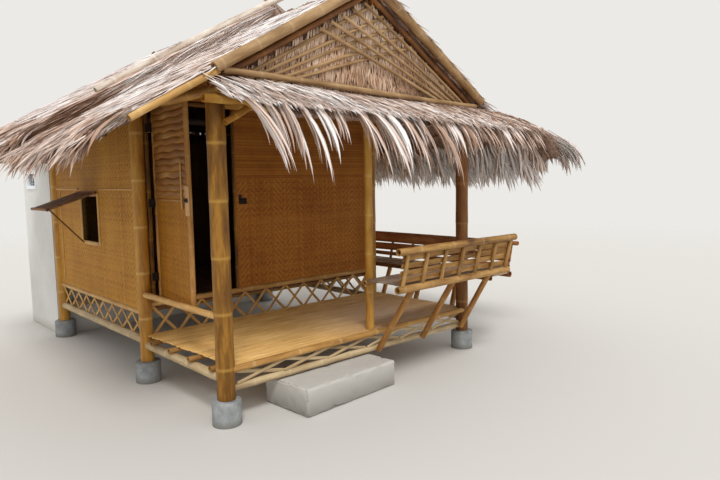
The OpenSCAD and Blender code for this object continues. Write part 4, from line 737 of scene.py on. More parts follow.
# The end of the left front rafter shows in front of the thatch, below the verge pole. Its pale bamboo is
# painted sunlight, paler than the rafters behind it.
tip = {"y": -0.15, "fromU": 1.4, "fromDepth": 0.05, "toU": 2.0, "toDepth": 0.042}
rafterTip = pole((midX - tip["fromU"], tip["y"], roofHeight(tip["fromU"], tip["fromDepth"])),
                 (midX - tip["toU"], tip["y"], roofHeight(tip["toU"], tip["toDepth"])), top["rafterThick"])
finishPiece([rafterTip], "frontRafterTip", bamboo["paleBamboo"])
battens = [lengthways(midX, *top["ends"], top["ridgeZ"], top["ridgeThick"])]
for side in (-1, 1):
    for i in range(top["purlinCount"]):
        u = top["purlinFrom"] + i * top["purlinGap"]
        battens.append(lengthways(midX + side * u, *top["ends"], roofHeight(u, top["purlinDepth"]),
                                  top["purlinThick"]))
finishPiece(battens, "ridgeAndBattens", bamboo["brownBamboo"], replaces=("ridge_and_battens",))

# Poles laid on the roof, along its verges and across the foot of the gable
laid = {"y": 1.21, "apart": 0.0305, "depth": -0.1003, "fromU": 1.7, "toU": -0.11, "thick": 0.06, "bow": 0.006}
verge = {"frontY": -0.1621, "rearY": 3.6903, "depth": 0.025, "frontU": 1.433, "rearU": 1.55, "topU": -0.08,
         "thick": 0.08, "bow": 0.004}
gableBase = {"x": (-0.015, 2.715), "y": -0.1464, "z": 2.4006, "thick": 0.044, "bend": 0.022}
roofPoles = [slopePole(side, laid["y"] + side * laid["apart"], laid["depth"], laid["fromU"], laid["toU"],
                       laid["thick"], bow=laid["bow"]) for side in (-1, 1)]
# the long roof poles carry painted sunlight in their near-white colour
finishPiece(roofPoles, "longRoofPoles", bamboo["bleachedAndSunlitBamboo"], replaces=("roof_poles",))
verges = [slopePole(side, y, verge["depth"], footU, verge["topU"], verge["thick"], bow=verge["bow"])
          for y, footU in ((verge["frontY"], verge["frontU"]), (verge["rearY"], verge["rearU"]))
          for side in (-1, 1)]
basePole = crossways(*gableBase["x"], gableBase["y"], gableBase["z"], gableBase["thick"])
bent = cornersOf(basePole.data)
bent[:, 2] += gableBase["bend"] * np.cos(math.pi * bent[:, 0] / width)  # high on the left, low on the right
setCorners(basePole.data, bent)
finishPiece(verges + [basePole], "vergePoles", bamboo["roofBamboo"], replaces=("verge_poles",))

# The two fans of slim poles on the front gable
fans = {"count": 5, "foot": 1.24, "footStep": 0.082, "head": 0.06, "headStep": 0.115, "headDepth": 0.135,
        "lowZ": 2.3786, "thick": 0.025, "bow": 0.006, "leftY": -0.0863, "rightY": -0.1116}
sticks = []
for side, y in ((-1, fans["leftY"]), (1, fans["rightY"])):
    for i in range(fans["count"]):
        footU = fans["foot"] - fans["footStep"] * i
        headU = fans["head"] + fans["headStep"] * i
        sticks.append(pole((midX + side * footU, y, fans["lowZ"]),
                           (midX - side * headU, y, roofHeight(headU, fans["headDepth"])),
                           fans["thick"], bow=fans["bow"]))
finishPiece(sticks, "gableFans", bamboo["roofBamboo"], replaces=("gable_lattice",))
awningRafter = {"count": 6, "firstX": 0.06, "gap": 0.516, "back": (-0.0763, 2.3041), "front": (-0.5, 2.1065),
                "thick": 0.03}
awningRafters = []
for i in range(awningRafter["count"]):
    x = awningRafter["firstX"] + awningRafter["gap"] * i
    awningRafters.append(pole((x, *awningRafter["back"]), (x, *awningRafter["front"]), awningRafter["thick"]))
finishPiece(awningRafters, "awningRafters", bamboo["goldenBamboo"], replaces=("awning_poles",))
print("roof poles made")

# The porch deck: flattened culms laid side by side, their left ends ragged and cut askew
deck = {"from": -0.002, "to": 1.294, "count": 42, "left": -0.015, "right": 2.715, "under": 0.3985,
        "thick": 0.0115, "ragged": 0.014, "slant": 0.07, "fill": 0.985, "wobble": 0.0008}
deckLook = {**bambooLooks["paleBamboo"], "dark": "#a87c46", "middle": "#d8a760", "light": "#ebbd74",
            "pale": "#f6d596", "rough": 0.6,
            "worn": {"place": (1.95, 0.35, house["deckTop"]), "from": 0.3, "reach": 1.3, "ragged": 0.5,
                     "share": 0.72, "colour": "#b39d8e"}}
deckStep = (deck["to"] - deck["from"]) / deck["count"]
deckStrips = []
for i in range(deck["count"]):
    y = deck["from"] + (i + 0.5) * deckStep
    leftEnd = deck["left"] + deck["slant"] * (1 - y / wallY) + dice.uniform(-0.2, 1) * deck["ragged"]
    rightEnd = deck["right"] - dice.uniform(-0.2, 1) * deck["ragged"]
    deckStrips.append(strip((leftEnd, y, deck["under"]), (rightEnd, y, deck["under"]),
                            deckStep * deck["fill"], deck["thick"], (0, 0, 1), deck["wobble"]))
finishPiece(deckStrips, "deckStrips", bambooMaterial("wornDeckBamboo", deckLook), replaces=("deck_mat",))

# Crossed split strips: each pair leans both ways, one over the other
lattice = {"wide": 0.028, "thick": 0.0075, "slack": 0.03, "end": 0.04, "pitch": 0.23, "lowZ": 0.3863,
           "side": {"from": 1.355, "length": 2.0894, "high": 0.1775},
           "front": {"from": 0.0553, "length": 2.5894, "high": 0.2525},
           "edge": {"from": 0.0653, "length": 2.5744, "high": 0.089, "y": -0.014, "z": 0.2735, "pitch": 0.42}}


def latticeStrips(low, panel, along, facing, pitch=lattice["pitch"]):
    count = max(1, round(panel["length"] / pitch))
    bay = panel["length"] / count
    along, facing, low = Vector(along), Vector(facing), Vector(low)
    made = []
    for i in range(count):
        for lean, lift in ((1, 0.0), (-1, -lattice["thick"])):
            foot = i + (0 if lean > 0 else 1) + dice.uniform(-lattice["slack"], lattice["slack"])
            head = i + (1 if lean > 0 else 0) + dice.uniform(-lattice["slack"], lattice["slack"])
            foot, head = (min(max(part, lattice["end"]), count - lattice["end"]) for part in (foot, head))
            start = low + along * foot * bay + facing * lift
            end = low + along * head * bay + facing * lift + Vector((0, 0, panel["high"]))
            made.append(strip(start, end, lattice["wide"], lattice["thick"], facing))
    return made


sideLattice = []
for x, way in ((0.0, -1), (width, 1)):
    sideLattice += latticeStrips((x, lattice["side"]["from"], lattice["lowZ"]), lattice["side"],
                                 (0, 1, 0), (way, 0, 0))
finishPiece(sideLattice, "sideLattices", bamboo["paleBamboo"], replaces=("side_lattices",))
frontLattice = latticeStrips((lattice["front"]["from"], wallY, lattice["lowZ"]), lattice["front"],
                             (1, 0, 0), (0, -1, 0))
finishPiece(frontLattice, "frontLattices", bamboo["paleBamboo"], replaces=("front_lattices",))
edge = lattice["edge"]
edgeLattice = latticeStrips((edge["from"], edge["y"], edge["z"]), edge, (1, 0, 0), (0, -1, 0), edge["pitch"])
finishPiece(edgeLattice, "deckEdgeLattice", bamboo["weatheredBamboo"])
print("deck and lattices made")

# The poles and strips of the room walls
doorway = {"hingeX": 0.0773, "latchX": 0.9173, "z": (0.69, 2.41), "hingeThick": 0.044, "latchThick": 0.04,
           "latchRing": 0.2, "latchRingGap": 0.36, "headX": (0.055, 0.94), "headZ": 2.388}
lowZ, highZ = doorway["z"]
wallPoles = [
    pole((doorway["hingeX"], wallY, lowZ), (doorway["hingeX"], wallY, highZ), doorway["hingeThick"]),
    pole((doorway["latchX"], wallY, lowZ), (doorway["latchX"], wallY, highZ), doorway["latchThick"],
         doorway["latchRing"], doorway["latchRingGap"], bow=0),
    crossways(*doorway["headX"], wallY, doorway["headZ"], doorway["hingeThick"]),
]
finishPiece(wallPoles, "doorSurroundPoles", bamboo["stainedBamboo"], replaces=("door_surround",))
cover = {"face": 0.0203, "wide": 0.02, "thick": 0.01, "z": 1.65, "uprightY": 3.31, "uprightZ": (0.66, 1.638),
         "leftSpans": ((1.363, 2.152), (2.728, 3.437)), "rightSpans": ((1.363, 3.437),)}
battenStrips = []
for side, x, spans in ((-1, -cover["face"], cover["leftSpans"]),
                       (1, width + cover["face"], cover["rightSpans"])):
    ends = [((x, y0, cover["z"]), (x, y1, cover["z"])) for y0, y1 in spans]
    ends.append([(x, cover["uprightY"], z) for z in cover["uprightZ"]])
    battenStrips += [strip(start, end, cover["wide"], cover["thick"], (side, 0, 0)) for start, end in ends]
finishPiece(battenStrips, "wallBattenStrips", bamboo["paleBamboo"], replaces=("wall_battens",))
window = {"y": (2.225, 2.655), "z": (1.14, 1.58), "face": -0.0203, "wide": 0.035, "thick": 0.012,
          "push": 0.0175, "past": 0.03, "inset": 0.002}
(windowY0, windowY1), (windowZ0, windowZ1) = window["y"], window["z"]
trims = [((y, windowZ0 - window["past"]), (y, windowZ1 + window["past"]))
         for y in (windowY0 - window["push"], windowY1 + window["push"])]
trims += [((windowY0 + window["inset"], z), (windowY1 - window["inset"], z))
          for z in (windowZ0 - window["push"], windowZ1 + window["push"])]
trimStrips = [strip((window["face"], *start), (window["face"], *end), window["wide"], window["thick"],
                    (-1, 0, 0)) for start, end in trims]
finishPiece(trimStrips, "windowTrimStrips", bamboo["paleBamboo"], replaces=("window_trim",))

# The propped shutter: weathered boards between a pole at its hinge and a pole at its free edge
shutter = {
    "hinge": (-0.0456, 0, 1.6175), "slope": math.radians(19), "reach": 0.45, "y": (2.195, 2.685),
    "boards": 3, "boardStep": 0.156, "boardWide": 0.154, "inset": 0.012, "under": -0.012, "top": 0.008,
    "poleThick": 0.026, "poleIn": 0.004,
    "prop": ((-0.0403, 2.595, 1.1225), (-0.4144, 2.42, 1.4905)), "propThick": 0.016,
}
hingeSpot = Vector(shutter["hinge"])
shutterTurn = Matrix.Translation(hingeSpot) @ Matrix.Rotation(-shutter["slope"], 4, "Y")
shutterBoards = []
for i in range(shutter["boards"]):
    y0 = shutter["y"][0] + shutter["inset"] + i * shutter["boardStep"]
    leafBoard = board((-shutter["reach"], y0, shutter["under"]),
                      (-shutter["inset"], y0 + shutter["boardWide"], shutter["top"]))
    leafBoard.data.transform(shutterTurn)
    shutterBoards.append(leafBoard)
finishPiece(shutterBoards, "shutterBoards", shutterWood)
drop = Vector((-math.cos(shutter["slope"]), 0, -math.sin(shutter["slope"])))
freeSpot = hingeSpot + drop * (shutter["reach"] - shutter["poleIn"])
shutterPoles = [lengthways(spot.x, *shutter["y"], spot.z, shutter["poleThick"])
                for spot in (hingeSpot, freeSpot)]
finishPiece(shutterPoles, "shutterPoles", bamboo["brownBamboo"], replaces=("window_shutter",))
propStick = pole(*shutter["prop"], shutter["propThick"])
finishPiece([propStick], "shutterPropStick", bamboo["brownBamboo"], replaces=("shutter_prop",))
print("window made")

# The door leaf, drawn in its own width and thickness and turned to where it stands open
leafWay = Vector((-0.1132, -0.9936, 0))
leafFace = Vector((0.9936, -0.1132, 0))
hingeFoot = Vector((*house["hinge"], 0))
leafTurn = Matrix((leafWay, leafFace, Vector((0, 0, 1)))).transposed().to_4x4()


def onLeaf(along, out, z):
    return hingeFoot + leafWay * along + leafFace * out + Vector((0, 0, z))


leaf = {"out": 0.026, "z": (0.705, 2.355), "stiles": (0.024, 0.764), "rails": (0.725, 2.335),
        "lockRail": 1.56, "railSpan": (0.03, 0.758), "thick": 0.04, "lockThick": 0.028}
leafPoles = [pole(*(onLeaf(along, leaf["out"], z) for z in leaf["z"]), leaf["thick"])
             for along in leaf["stiles"]]
for z, thick in (*((z, leaf["thick"]) for z in leaf["rails"]), (leaf["lockRail"], leaf["lockThick"])):
    leafPoles.append(pole(*(onLeaf(along, leaf["out"], z) for along in leaf["railSpan"]), thick))
finishPiece(leafPoles, "doorLeafPoles", bamboo["earthBamboo"], body="door_leaf", replaces=("door_frame",))

# Broad splits woven round stakes fill the upper half of the leaf, so each one swells between the stakes
ripple = {"from": 1.583, "to": 2.312, "pitch": 0.052, "fill": 0.97, "wave": 0.0045, "waveLength": 0.31,
          "stakes": 0.125, "thick": 0.013, "span": (0.046, 0.742), "side": -1}


def modelRipples():
    made = []
    z = ripple["from"] + ripple["pitch"] / 2
    while z < ripple["to"]:
        row = len(made)
        slat = strip(*(onLeaf(along, leaf["out"], 0) for along in ripple["span"]),
                     ripple["pitch"] * ripple["fill"], ripple["thick"], leafFace * ripple["side"], 0.0)
        finer = slat.modifiers.new("finer", "SUBSURF")
        finer.subdivision_type = "SIMPLE"
        finer.levels = 2
        alone(slat)
        bpy.ops.object.modifier_apply(modifier="finer")
        points = cornersOf(slat.data)
        along = (points - np.array(hingeFoot)) @ np.array(leafWay)
        phase = math.pi * row + dice.uniform(-0.3, 0.3)
        swell = 0.5 + 0.5 * np.sin(math.pi * along / ripple["stakes"] + phase)
        points += np.outer(swell * ripple["thick"] * 0.4, np.array(leafFace) * ripple["side"])
        points[:, 2] += z + ripple["wave"] * np.sin(2 * math.pi * along / ripple["waveLength"] + 0.5 * row)
        setCorners(slat.data, points)
        made.append(slat)
        z += ripple["pitch"]
    return made


doorLook = {**bambooLooks["goldenBamboo"], "dark": "#5a3212", "middle": "#7e5022", "light": "#96642c",
            "pale": "#ab7b3c", "rough": 0.6}
finishPiece(modelRipples(), "doorRipples", bambooMaterial("brownDoorSplits", doorLook), body="door_leaf")
upright = {"along": 0.655, "out": 0.0095, "z": (1.5, 1.86), "wide": 0.026, "thick": 0.008}
uprightBatten = strip(*(onLeaf(upright["along"], upright["out"], z) for z in upright["z"]), upright["wide"],
                      upright["thick"], -leafFace)
finishPiece([uprightBatten], "doorUprightBatten", bamboo["paleBamboo"], body="door_leaf")

# The wooden latch plate has rounded corners and carries a bent steel staple on a small hasp plate
latch = {"along": (0.76, 0.82), "out": (-0.0053, 0.0057), "z": (1.4495, 1.6745), "corner": 0.013,
         "worn": 0.0015, "bend": 0.019, "wire": 0.0055, "staple": (0.79, -0.003, 1.566),
         "hasp": (0.786, -0.0053, 1.566), "haspLow": (-0.034, -0.0032, -0.016),
         "haspHigh": (0.034, 0.0004, 0.016)}
steelWear = {"edge": 0.0012, "sag": 0.0002}


def modelLatchBoard():
    size = [latch[k][1] - latch[k][0] for k in ("along", "out", "z")]
    piece = startFrom(bpy.ops.mesh.primitive_cube_add, size=1, scale=size)
    bpy.ops.object.mode_set(mode="EDIT")
    bpy.ops.mesh.select_mode(type="EDGE")
    bpy.ops.mesh.select_all(action="DESELECT")
    bpy.ops.object.mode_set(mode="OBJECT")
    for rim in piece.data.edges:
        ends = [piece.data.vertices[k].co for k in rim.vertices]
        rim.select = abs(ends[0].y - ends[1].y) > size[1] / 2
    bpy.ops.object.mode_set(mode="EDIT")
    bpy.ops.mesh.bevel(offset=latch["corner"], segments=4)
    bpy.ops.mesh.select_mode(type="VERT")
    bpy.ops.object.mode_set(mode="OBJECT")
    roundEdges(piece, latch["worn"])
    middle = onLeaf(*(sum(latch[k]) / 2 for k in ("along", "out", "z")))
    piece.data.transform(Matrix.Translation(middle) @ leafTurn)
    return piece


def modelStaple():  # a wire spun half round
    bendPlace = (latch["bend"], 0, 0)
    piece = startFrom(bpy.ops.mesh.primitive_circle_add, vertices=8, radius=latch["wire"], location=bendPlace)
    bpy.ops.object.mode_set(mode="EDIT")
    bpy.ops.mesh.select_all(action="SELECT")
    bpy.ops.transform.rotate(value=math.pi / 2, orient_axis="X", center_override=bendPlace)
    bpy.ops.mesh.spin(steps=12, angle=math.pi, center=(0, 0, 0), axis=(0, 0, 1))
    bpy.ops.mesh.select_all(action="SELECT")
    bpy.ops.mesh.remove_doubles(threshold=0.0001)
    bpy.ops.mesh.fill_holes(sides=0)
    bpy.ops.mesh.normals_make_consistent(inside=False)
    bpy.ops.object.mode_set(mode="OBJECT")
    piece.data.transform(Matrix.Translation(onLeaf(*latch["staple"])) @ leafTurn)
    return piece


finishPiece([modelLatchBoard()], "latchBoard", latchWood, body="door_leaf", replaces=("latch_plate",))
staple = modelStaple()
hasp = board(latch["haspLow"], latch["haspHigh"], **steelWear)
hasp.data.transform(Matrix.Translation(onLeaf(*latch["hasp"])) @ leafTurn)
# The bolt on the latch jamb: a plate and two short rods
bolt = {"low": (0.947, 1.2725, 1.486), "high": (1.03, 1.2765, 1.545), "rodPlace": (0.988, 1.2665),
        "rodZ": (1.503, 1.528), "rod": 0.007, "rodLength": 0.078, "worn": 0.0015}
boltParts = [board(bolt["low"], bolt["high"], **steelWear)]
for z in bolt["rodZ"]:
    rod = startFrom(bpy.ops.mesh.primitive_cylinder_add, vertices=14, radius=bolt["rod"],
                    depth=bolt["rodLength"], location=(*bolt["rodPlace"], z), rotation=(0, math.pi / 2, 0))
    roundEdges(rod, bolt["worn"], 1)
    boltParts.append(rod)
finishPiece(boltParts, "barrelBolt", rustedSteel)
finishPiece([staple, hasp], "latchStaple", rustedSteel, body="door_leaf")
print("door made")

# The bench on the porch front: poles, sawn planks and a leaning back with slats
bench = {
    "x": (1.23, 2.745), "y": -0.5, "z": 0.84, "innerX": (1.32, 2.64), "innerY": -0.0328, "innerZ": 0.835,
    "railThick": 0.06, "innerThick": 0.045, "bearers": (1.476, 1.993, 2.51), "bearerThick": 0.03,
    "plankX": (1.32, 2.75), "plankY": -0.469, "plankZ": 0.8503, "planks": 4, "plankStep": 0.1052,
    "plankWide": 0.0972, "plankThick": 0.018, "uneven": 0.02,
    "lean": math.atan2(0.075, 0.31), "reach": math.hypot(0.075, 0.31),
}
frontRails = [crossways(*bench["x"], bench["y"], bench["z"], bench["railThick"]),
              crossways(*bench["innerX"], bench["innerY"], bench["innerZ"], bench["innerThick"])]
bearerY = (bench["y"] + bench["railThick"] / 2, bench["innerY"] - 0.022)
frontRails += [lengthways(x, *bearerY, bench["innerZ"], bench["bearerThick"]) for x in bench["bearers"]]
finishPiece(frontRails, "frontBenchRails", bamboo["benchBamboo"])


def unevenPlank(axis, ends, place, wide, z):  # an end is up to 20 mm short
    spans = [(z, z + bench["plankThick"])] * 3
    spans[axis] = (ends[0] + dice.uniform(0, bench["uneven"]), ends[1] - dice.uniform(0, bench["uneven"]))
    spans[1 - axis] = (place, place + wide)
    return board(*zip(*spans))


frontPlanks = [unevenPlank(0, bench["plankX"], bench["plankY"] + i * bench["plankStep"], bench["plankWide"],
                           bench["plankZ"]) for i in range(bench["planks"])]
finishPiece(frontPlanks, "frontBenchPlanks", seatPlank)

# The bench along the right side of the porch
flank = {
    "x": 3.1, "y": (-0.33, 1.78), "z": 0.725, "innerX": 2.7828, "innerY": -0.29, "innerZ": 0.72,
    "bearers": (0.17, 0.6725, 1.175), "plankX": 2.806, "plankY": (-0.31, 1.77), "plankZ": 0.7353,
    "planks": 3, "plankStep": 0.0903, "plankWide": 0.0823,
}
flankY0, flankY1 = flank["y"]
sideRails = [lengthways(flank["x"], flankY0 + 0.03, flankY1, flank["z"], bench["railThick"]),
             lengthways(flank["innerX"], flank["innerY"], flankY1, flank["innerZ"], bench["innerThick"])]
sideRails += [crossways(flank["innerX"] + 0.022, flank["x"] - 0.03, y, flank["innerZ"], bench["bearerThick"])
              for y in flank["bearers"]]
finishPiece(sideRails, "sideBenchRails", bamboo["brownBamboo"], replaces=("bench_seats",))
sidePlanks = [unevenPlank(1, flank["plankY"], flank["plankX"] + i * flank["plankStep"], flank["plankWide"],
                          flank["plankZ"]) for i in range(flank["planks"])]
finishPiece(sidePlanks, "sideBenchPlanks", sidePlank)

# A leaning back is made along +X with its foot at the origin, then placed
leaning = {"stakes": 7, "stakeFoot": 0.0303, "stakeThick": 0.034, "slatY": 0.0173, "slatThick": 0.01,
           "slatSlip": 0.003, "slatWobble": 0.005, "lowY": 0.0398, "lowIn": 0.035, "lowThick": 0.045}
frontBack = {"length": 1.515, "topFrom": -0.06, "topThick": 0.06, "first": 0.055,
             "slats": 4, "slatHigh": 0.05, "slatGap": 0.013, "slatDrop": 0.008}
sideBack = {"length": 2.11, "topFrom": -0.01, "topThick": 0.045, "first": 0.07, "lowPole": 0.077,
            "slats": 2, "slatHigh": 0.087, "slatGap": 0.001, "slatDrop": 0}


def leaningBack(back, place):
    length, first, reach = back["length"], back["first"], bench["reach"]
    under = reach - back["topThick"] / 2
    gap = (length - 2 * first) / (leaning["stakes"] - 1)
    made = [pole((first + i * gap, 0, leaning["stakeFoot"]), (first + i * gap, 0, under + 0.002),
                 leaning["stakeThick"], hollow=False) for i in range(leaning["stakes"])]
    made.append(crossways(back["topFrom"], length, 0, reach, back["topThick"]))
    for i in range(back["slats"]):
        z = under - back["slatDrop"] - (i + 0.5) * back["slatHigh"] - i * back["slatGap"]
        ends = [z + dice.uniform(-leaning["slatSlip"], leaning["slatSlip"]) for _ in range(2)]
        made.append(strip((first / 2, leaning["slatY"], ends[0]),
                          (length - first / 2, leaning["slatY"], ends[1]),
                          back["slatHigh"], leaning["slatThick"], (0, 1, 0), leaning["slatWobble"]))
    if "lowPole" in back:
        made.append(crossways(leaning["lowIn"], length - leaning["lowIn"], leaning["lowY"], back["lowPole"],
                              leaning["lowThick"]))
    for piece in made:
        piece.data.transform(place @ Matrix.Rotation(bench["lean"], 4, "X"))
    return made


frontPlace = Matrix.Translation((bench["x"][0], bench["y"], bench["z"]))
sidePlace = Matrix.Translation((flank["x"], flankY0, flank["z"])) @ Matrix.Rotation(math.pi / 2, 4, "Z")
finishPiece(leaningBack(frontBack, frontPlace), "frontBenchBack", bamboo["benchBamboo"])
finishPiece(leaningBack(sideBack, sidePlace), "sideBenchBack", bamboo["ruddyBamboo"],
            replaces=("bench_backs",))
strut = {"thick": 0.052, "frontFoot": (1.47, -0.0485, 0.239), "frontFootGap": 0.575, "frontHead": 1.416,
         "frontHeadGap": 0.517, "sideFootX": 2.756, "sideFootY": 0.015, "sideHeadY": 0.175}
footX, footY, footZ = strut["frontFoot"]
struts = [pole((footX + strut["frontFootGap"] * i, footY, footZ),
               (strut["frontHead"] + strut["frontHeadGap"] * i, bench["y"], bench["z"]), strut["thick"])
          for i in range(3)]
struts += [pole((strut["sideFootX"], y + strut["sideFootY"], base["porchBeamZ"]),
                (flank["x"], y + strut["sideHeadY"], flank["z"]), strut["thick"]) for y in flank["bearers"]]
finishPiece(struts, "benchStruts", bamboo["earthBamboo"], replaces=("bench_struts",))
print("benches made")

# Footings: cast in round tubs, so the rims are worn and no two tops are the same
tub = {"radius": 0.105, "below": 0.04, "rim": 0.006, "oval": 0.012, "lumps": 0.006, "tilt": 0.004,
       "highShare": 0.6}


def modelFooting(x, y):
    footing = startFrom(bpy.ops.mesh.primitive_cylinder_add, vertices=40, radius=tub["radius"],
                        depth=house["footTop"] + tub["below"],
                        location=(x, y, house["footTop"] / 2 - tub["below"] / 2))
    roundEdges(footing, tub["rim"], 3)
    bpy.ops.object.mode_set(mode="EDIT")
    cutAcross((0, 0, 0), (0, 0, 1), clear_inner=True, use_fill=True)
    bpy.ops.object.mode_set(mode="OBJECT")
    points = cornersOf(footing.data)
    angle = np.arctan2(points[:, 1] - y, points[:, 0] - x)
    swell = 1 + tub["oval"] * np.sin(2 * angle + dice.uniform(0, 6))
    swell += tub["lumps"] * np.sin(5 * angle + dice.uniform(0, 6))
    points[:, 0] = x + (points[:, 0] - x) * swell
    points[:, 1] = y + (points[:, 1] - y) * swell
    high = points[:, 2] > house["footTop"] * tub["highShare"]
    points[high, 2] -= tub["tilt"] * (1 + np.sin(angle[high] + dice.uniform(0, 6)))
    setCorners(footing.data, points)
    return footing


footings = [modelFooting(x, y) for x in sides for y in (0, wallY, rearY)]
finishPiece(footings, "castFootings", footConcrete, replaces=("footings",), smooth=50)

# The step block at the deck: cast in a box, with chipped edges and slightly hollow faces
stepBlock = {"corner": (0.455, -0.345, 0), "turn": math.radians(3), "size": (0.96, 0.5, 0.208), "edge": 0.014,
             "cuts": (30, 16, 7), "hollow": 0.0008, "chip": 0.0022, "edgeBand": 0.016, "whole": 0.68}
dents = (((23.0, 17.0, 41.0), 1.3), ((-31.0, 47.0, 13.0), 4.1))


def modelStepBlock():
    size = stepBlock["size"]
    block = startFrom(bpy.ops.mesh.primitive_cube_add, size=1, location=[s / 2 for s in size], scale=size)
    roundEdges(block, stepBlock["edge"], 3)
    bpy.ops.object.mode_set(mode="EDIT")
    for axis, count in enumerate(stepBlock["cuts"]):
        for i in range(1, count):
            cutAcross(axisPoint(axis, size[axis] * i / count), axisPoint(axis, 1))
    bpy.ops.object.mode_set(mode="OBJECT")
    points = cornersOf(block.data)
    middle = np.array(size) / 2
    atEdge = (np.abs(points - middle) > middle - stepBlock["edgeBand"]).sum(1).clip(0, 2)
    chipped = dice.random(len(points)) > stepBlock["whole"]
    inward = sum(np.sin(points @ np.array(way) + start) for way, start in dents) + 2
    inward *= stepBlock["hollow"] + stepBlock["chip"] * atEdge * chipped
    pull = (middle - points) / np.linalg.norm(points - middle, axis=1)[:, None]
    pull[:, 2][points[:, 2] < 0.002] = 0
    setCorners(block.data, points + pull * inward[:, None])
    block.data.transform(Matrix.Translation(stepBlock["corner"]) @ Matrix.Rotation(stepBlock["turn"], 4, "Z"))
    return block


finishPiece([modelStepBlock()], "castStepBlock", stepConcrete, replaces=("step_block",), smooth=35)
print("concrete made")

# CAD nodes whose shape is right get their real finish
finishes = {
    "left_wall": sideMatting, "right_wall": sideMatting, "rear_wall": rearMatting, "front_wall": frontMatting,
    "front_gable_wall": frontMatting, "door_panel": doorMatting, "room_floor": floorBoard,
    "hinge_brackets": rustedSteel, "door_hinges": rustedSteel, "annex_walls": annexPlaster,
    "annex_roof": annexPlaster, "annex_window_frame": frameEnamel, "annex_louvres": louvreGlass,
    "gable_infill": gableBedLook,
}
for name, finish in finishes.items():
    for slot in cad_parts[name].material_slots:
        slot.material = finish
print("finishes set")

# Thatch. One leaf blade is modelled in a few faces, flat below and ridged above, narrow at its root and
# drawn out to a tip. Every leaf is that blade bent along its own way down the roof.
leafCuts = {
    "short": ((0.3, 1.5), (0.68, 1.15)),
    "long": ((0.14, 1.35), (0.3, 1.55), (0.46, 1.5), (0.62, 1.3), (0.76, 1.0), (0.89, 0.62)),
}
leafTip = {"wide": 0.16, "thick": 0.3}


def modelLeaf(cuts):
    blade = startFrom(bpy.ops.mesh.primitive_cylinder_add, vertices=3, radius=1, depth=1,
                      location=(0, 0, 0.5))
    bpy.ops.object.mode_set(mode="EDIT")
    for height, girth in cuts:
        cutAcross((0, 0, height), (0, 0, 1))
        bpy.ops.transform.resize(value=(girth, 1, 1), center_override=(0, 0, height))
    bpy.ops.object.mode_set(mode="OBJECT")
    points = cornersOf(blade.data)
    atTip = points[:, 2] > 0.999
    points[:, 0] /= 1.732
    points[:, 1] = (points[:, 1] + 0.5) / 1.5
    points[atTip, 0] *= leafTip["wide"]
    points[atTip, 1] *= leafTip["thick"]
    setCorners(blade.data, points)
    return blade


leaves = {name: modelLeaf(cuts) for name, cuts in leafCuts.items()}


def unit(rows):
    return rows / np.linalg.norm(rows, axis=1, keepdims=True)


def ramped(value):  # from 0 to 1
    return np.clip(value, 0, 1)


def bendLeaves(shape, ways):  # where every corner of every leaf lies
    levels = np.unique(np.round(shape[:, 2], 4))
    rank = np.searchsorted(levels, np.round(shape[:, 2], 4))
    heading = unit(ways["heading"])
    fall = np.tile((0.0, 0.0, -1.0), (len(heading), 1))
    fall = unit(fall - heading * (fall * heading).sum(1, keepdims=True))
    wide = unit(np.cross(heading, ways["skin"]))
    place = ways["root"].copy()
    made = np.empty((len(heading), len(shape), 3))
    roll = ways["roll"][:, None]
    before = 0.0
    way = heading
    for number, level in enumerate(levels):
        if number:
            at = (before + level) / 2
            share = ramped((at - ways["bendFrom"]) / (1 - ways["bendFrom"]))
            angle = (ways["bend"] * share)[:, None]
            way = unit(heading * np.cos(angle) + fall * np.sin(angle) + wide * (ways["sway"] * at)[:, None])
            place = place + way * ((level - before) * ways["length"])[:, None]
            before = level
        flat = unit(wide - way * (wide * way).sum(1, keepdims=True))
        raised = np.cross(flat, way)
        turned = flat * np.cos(roll * (1 + level)) + raised * np.sin(roll * (1 + level))
        lifted = np.cross(turned, way)
        for corner in np.nonzero(rank == number)[0]:
            aside, over = shape[corner, :2]
            off = turned * (aside * ways["width"])[:, None] + lifted * (over * ways["thick"])
            made[:, corner] = place + off
    return made


def growLeaves(name, kind, ways, material=roofLeaf):
    pattern = leaves[kind].data
    shape = cornersOf(pattern)
    corners = bendLeaves(shape, ways)
    count = len(corners)
    loopCorners = np.empty(len(pattern.loops), int)
    pattern.loops.foreach_get("vertex_index", loopCorners)
    loopTotals = np.empty(len(pattern.polygons), int)
    pattern.polygons.foreach_get("loop_total", loopTotals)
    allLoops = (loopCorners[None, :] + np.arange(count)[:, None] * len(shape)).ravel()
    ends = np.cumsum(np.tile(loopTotals, count))
    mesh = bpy.data.meshes.new(name)
    mesh.vertices.add(count * len(shape))
    mesh.vertices.foreach_set("co", corners.ravel())
    mesh.loops.add(len(allLoops))
    mesh.loops.foreach_set("vertex_index", allLoops)
    mesh.polygons.add(len(ends))
    mesh.polygons.foreach_set("loop_start", np.concatenate(([0], ends[:-1])))
    mesh.update(calc_edges=True)
    mesh.validate()
    mark = np.empty((count, len(shape), 3))
    mark[:, :, 0] = ways["tone"][:, None] - 0.22 * ramped(0.35 - shape[None, :, 2])  # darker at the root
    mark[:, :, 1] = shape[None, :, 0] * 0.5 + dice.uniform(0, 30, count)[:, None]
    mark[:, :, 2] = shape[None, :, 2] * ways["length"][:, None]
    setMark(mesh, "leaf", "FLOAT_VECTOR", mark)
    piece = bpy.data.objects.new(name, mesh)
    bpy.context.scene.collection.objects.link(piece)
    return finishPiece([piece], name, material, smooth=0)


def spread(low, high, count):
    return dice.uniform(low, high, count)


def drawForm(form, count):  # in the order that the form lists; what starts with "bunch" is drawn once
    return {key: dice.uniform(*span) if key.startswith("bunch") else spread(*span, count)
            for key, span in form.items()}


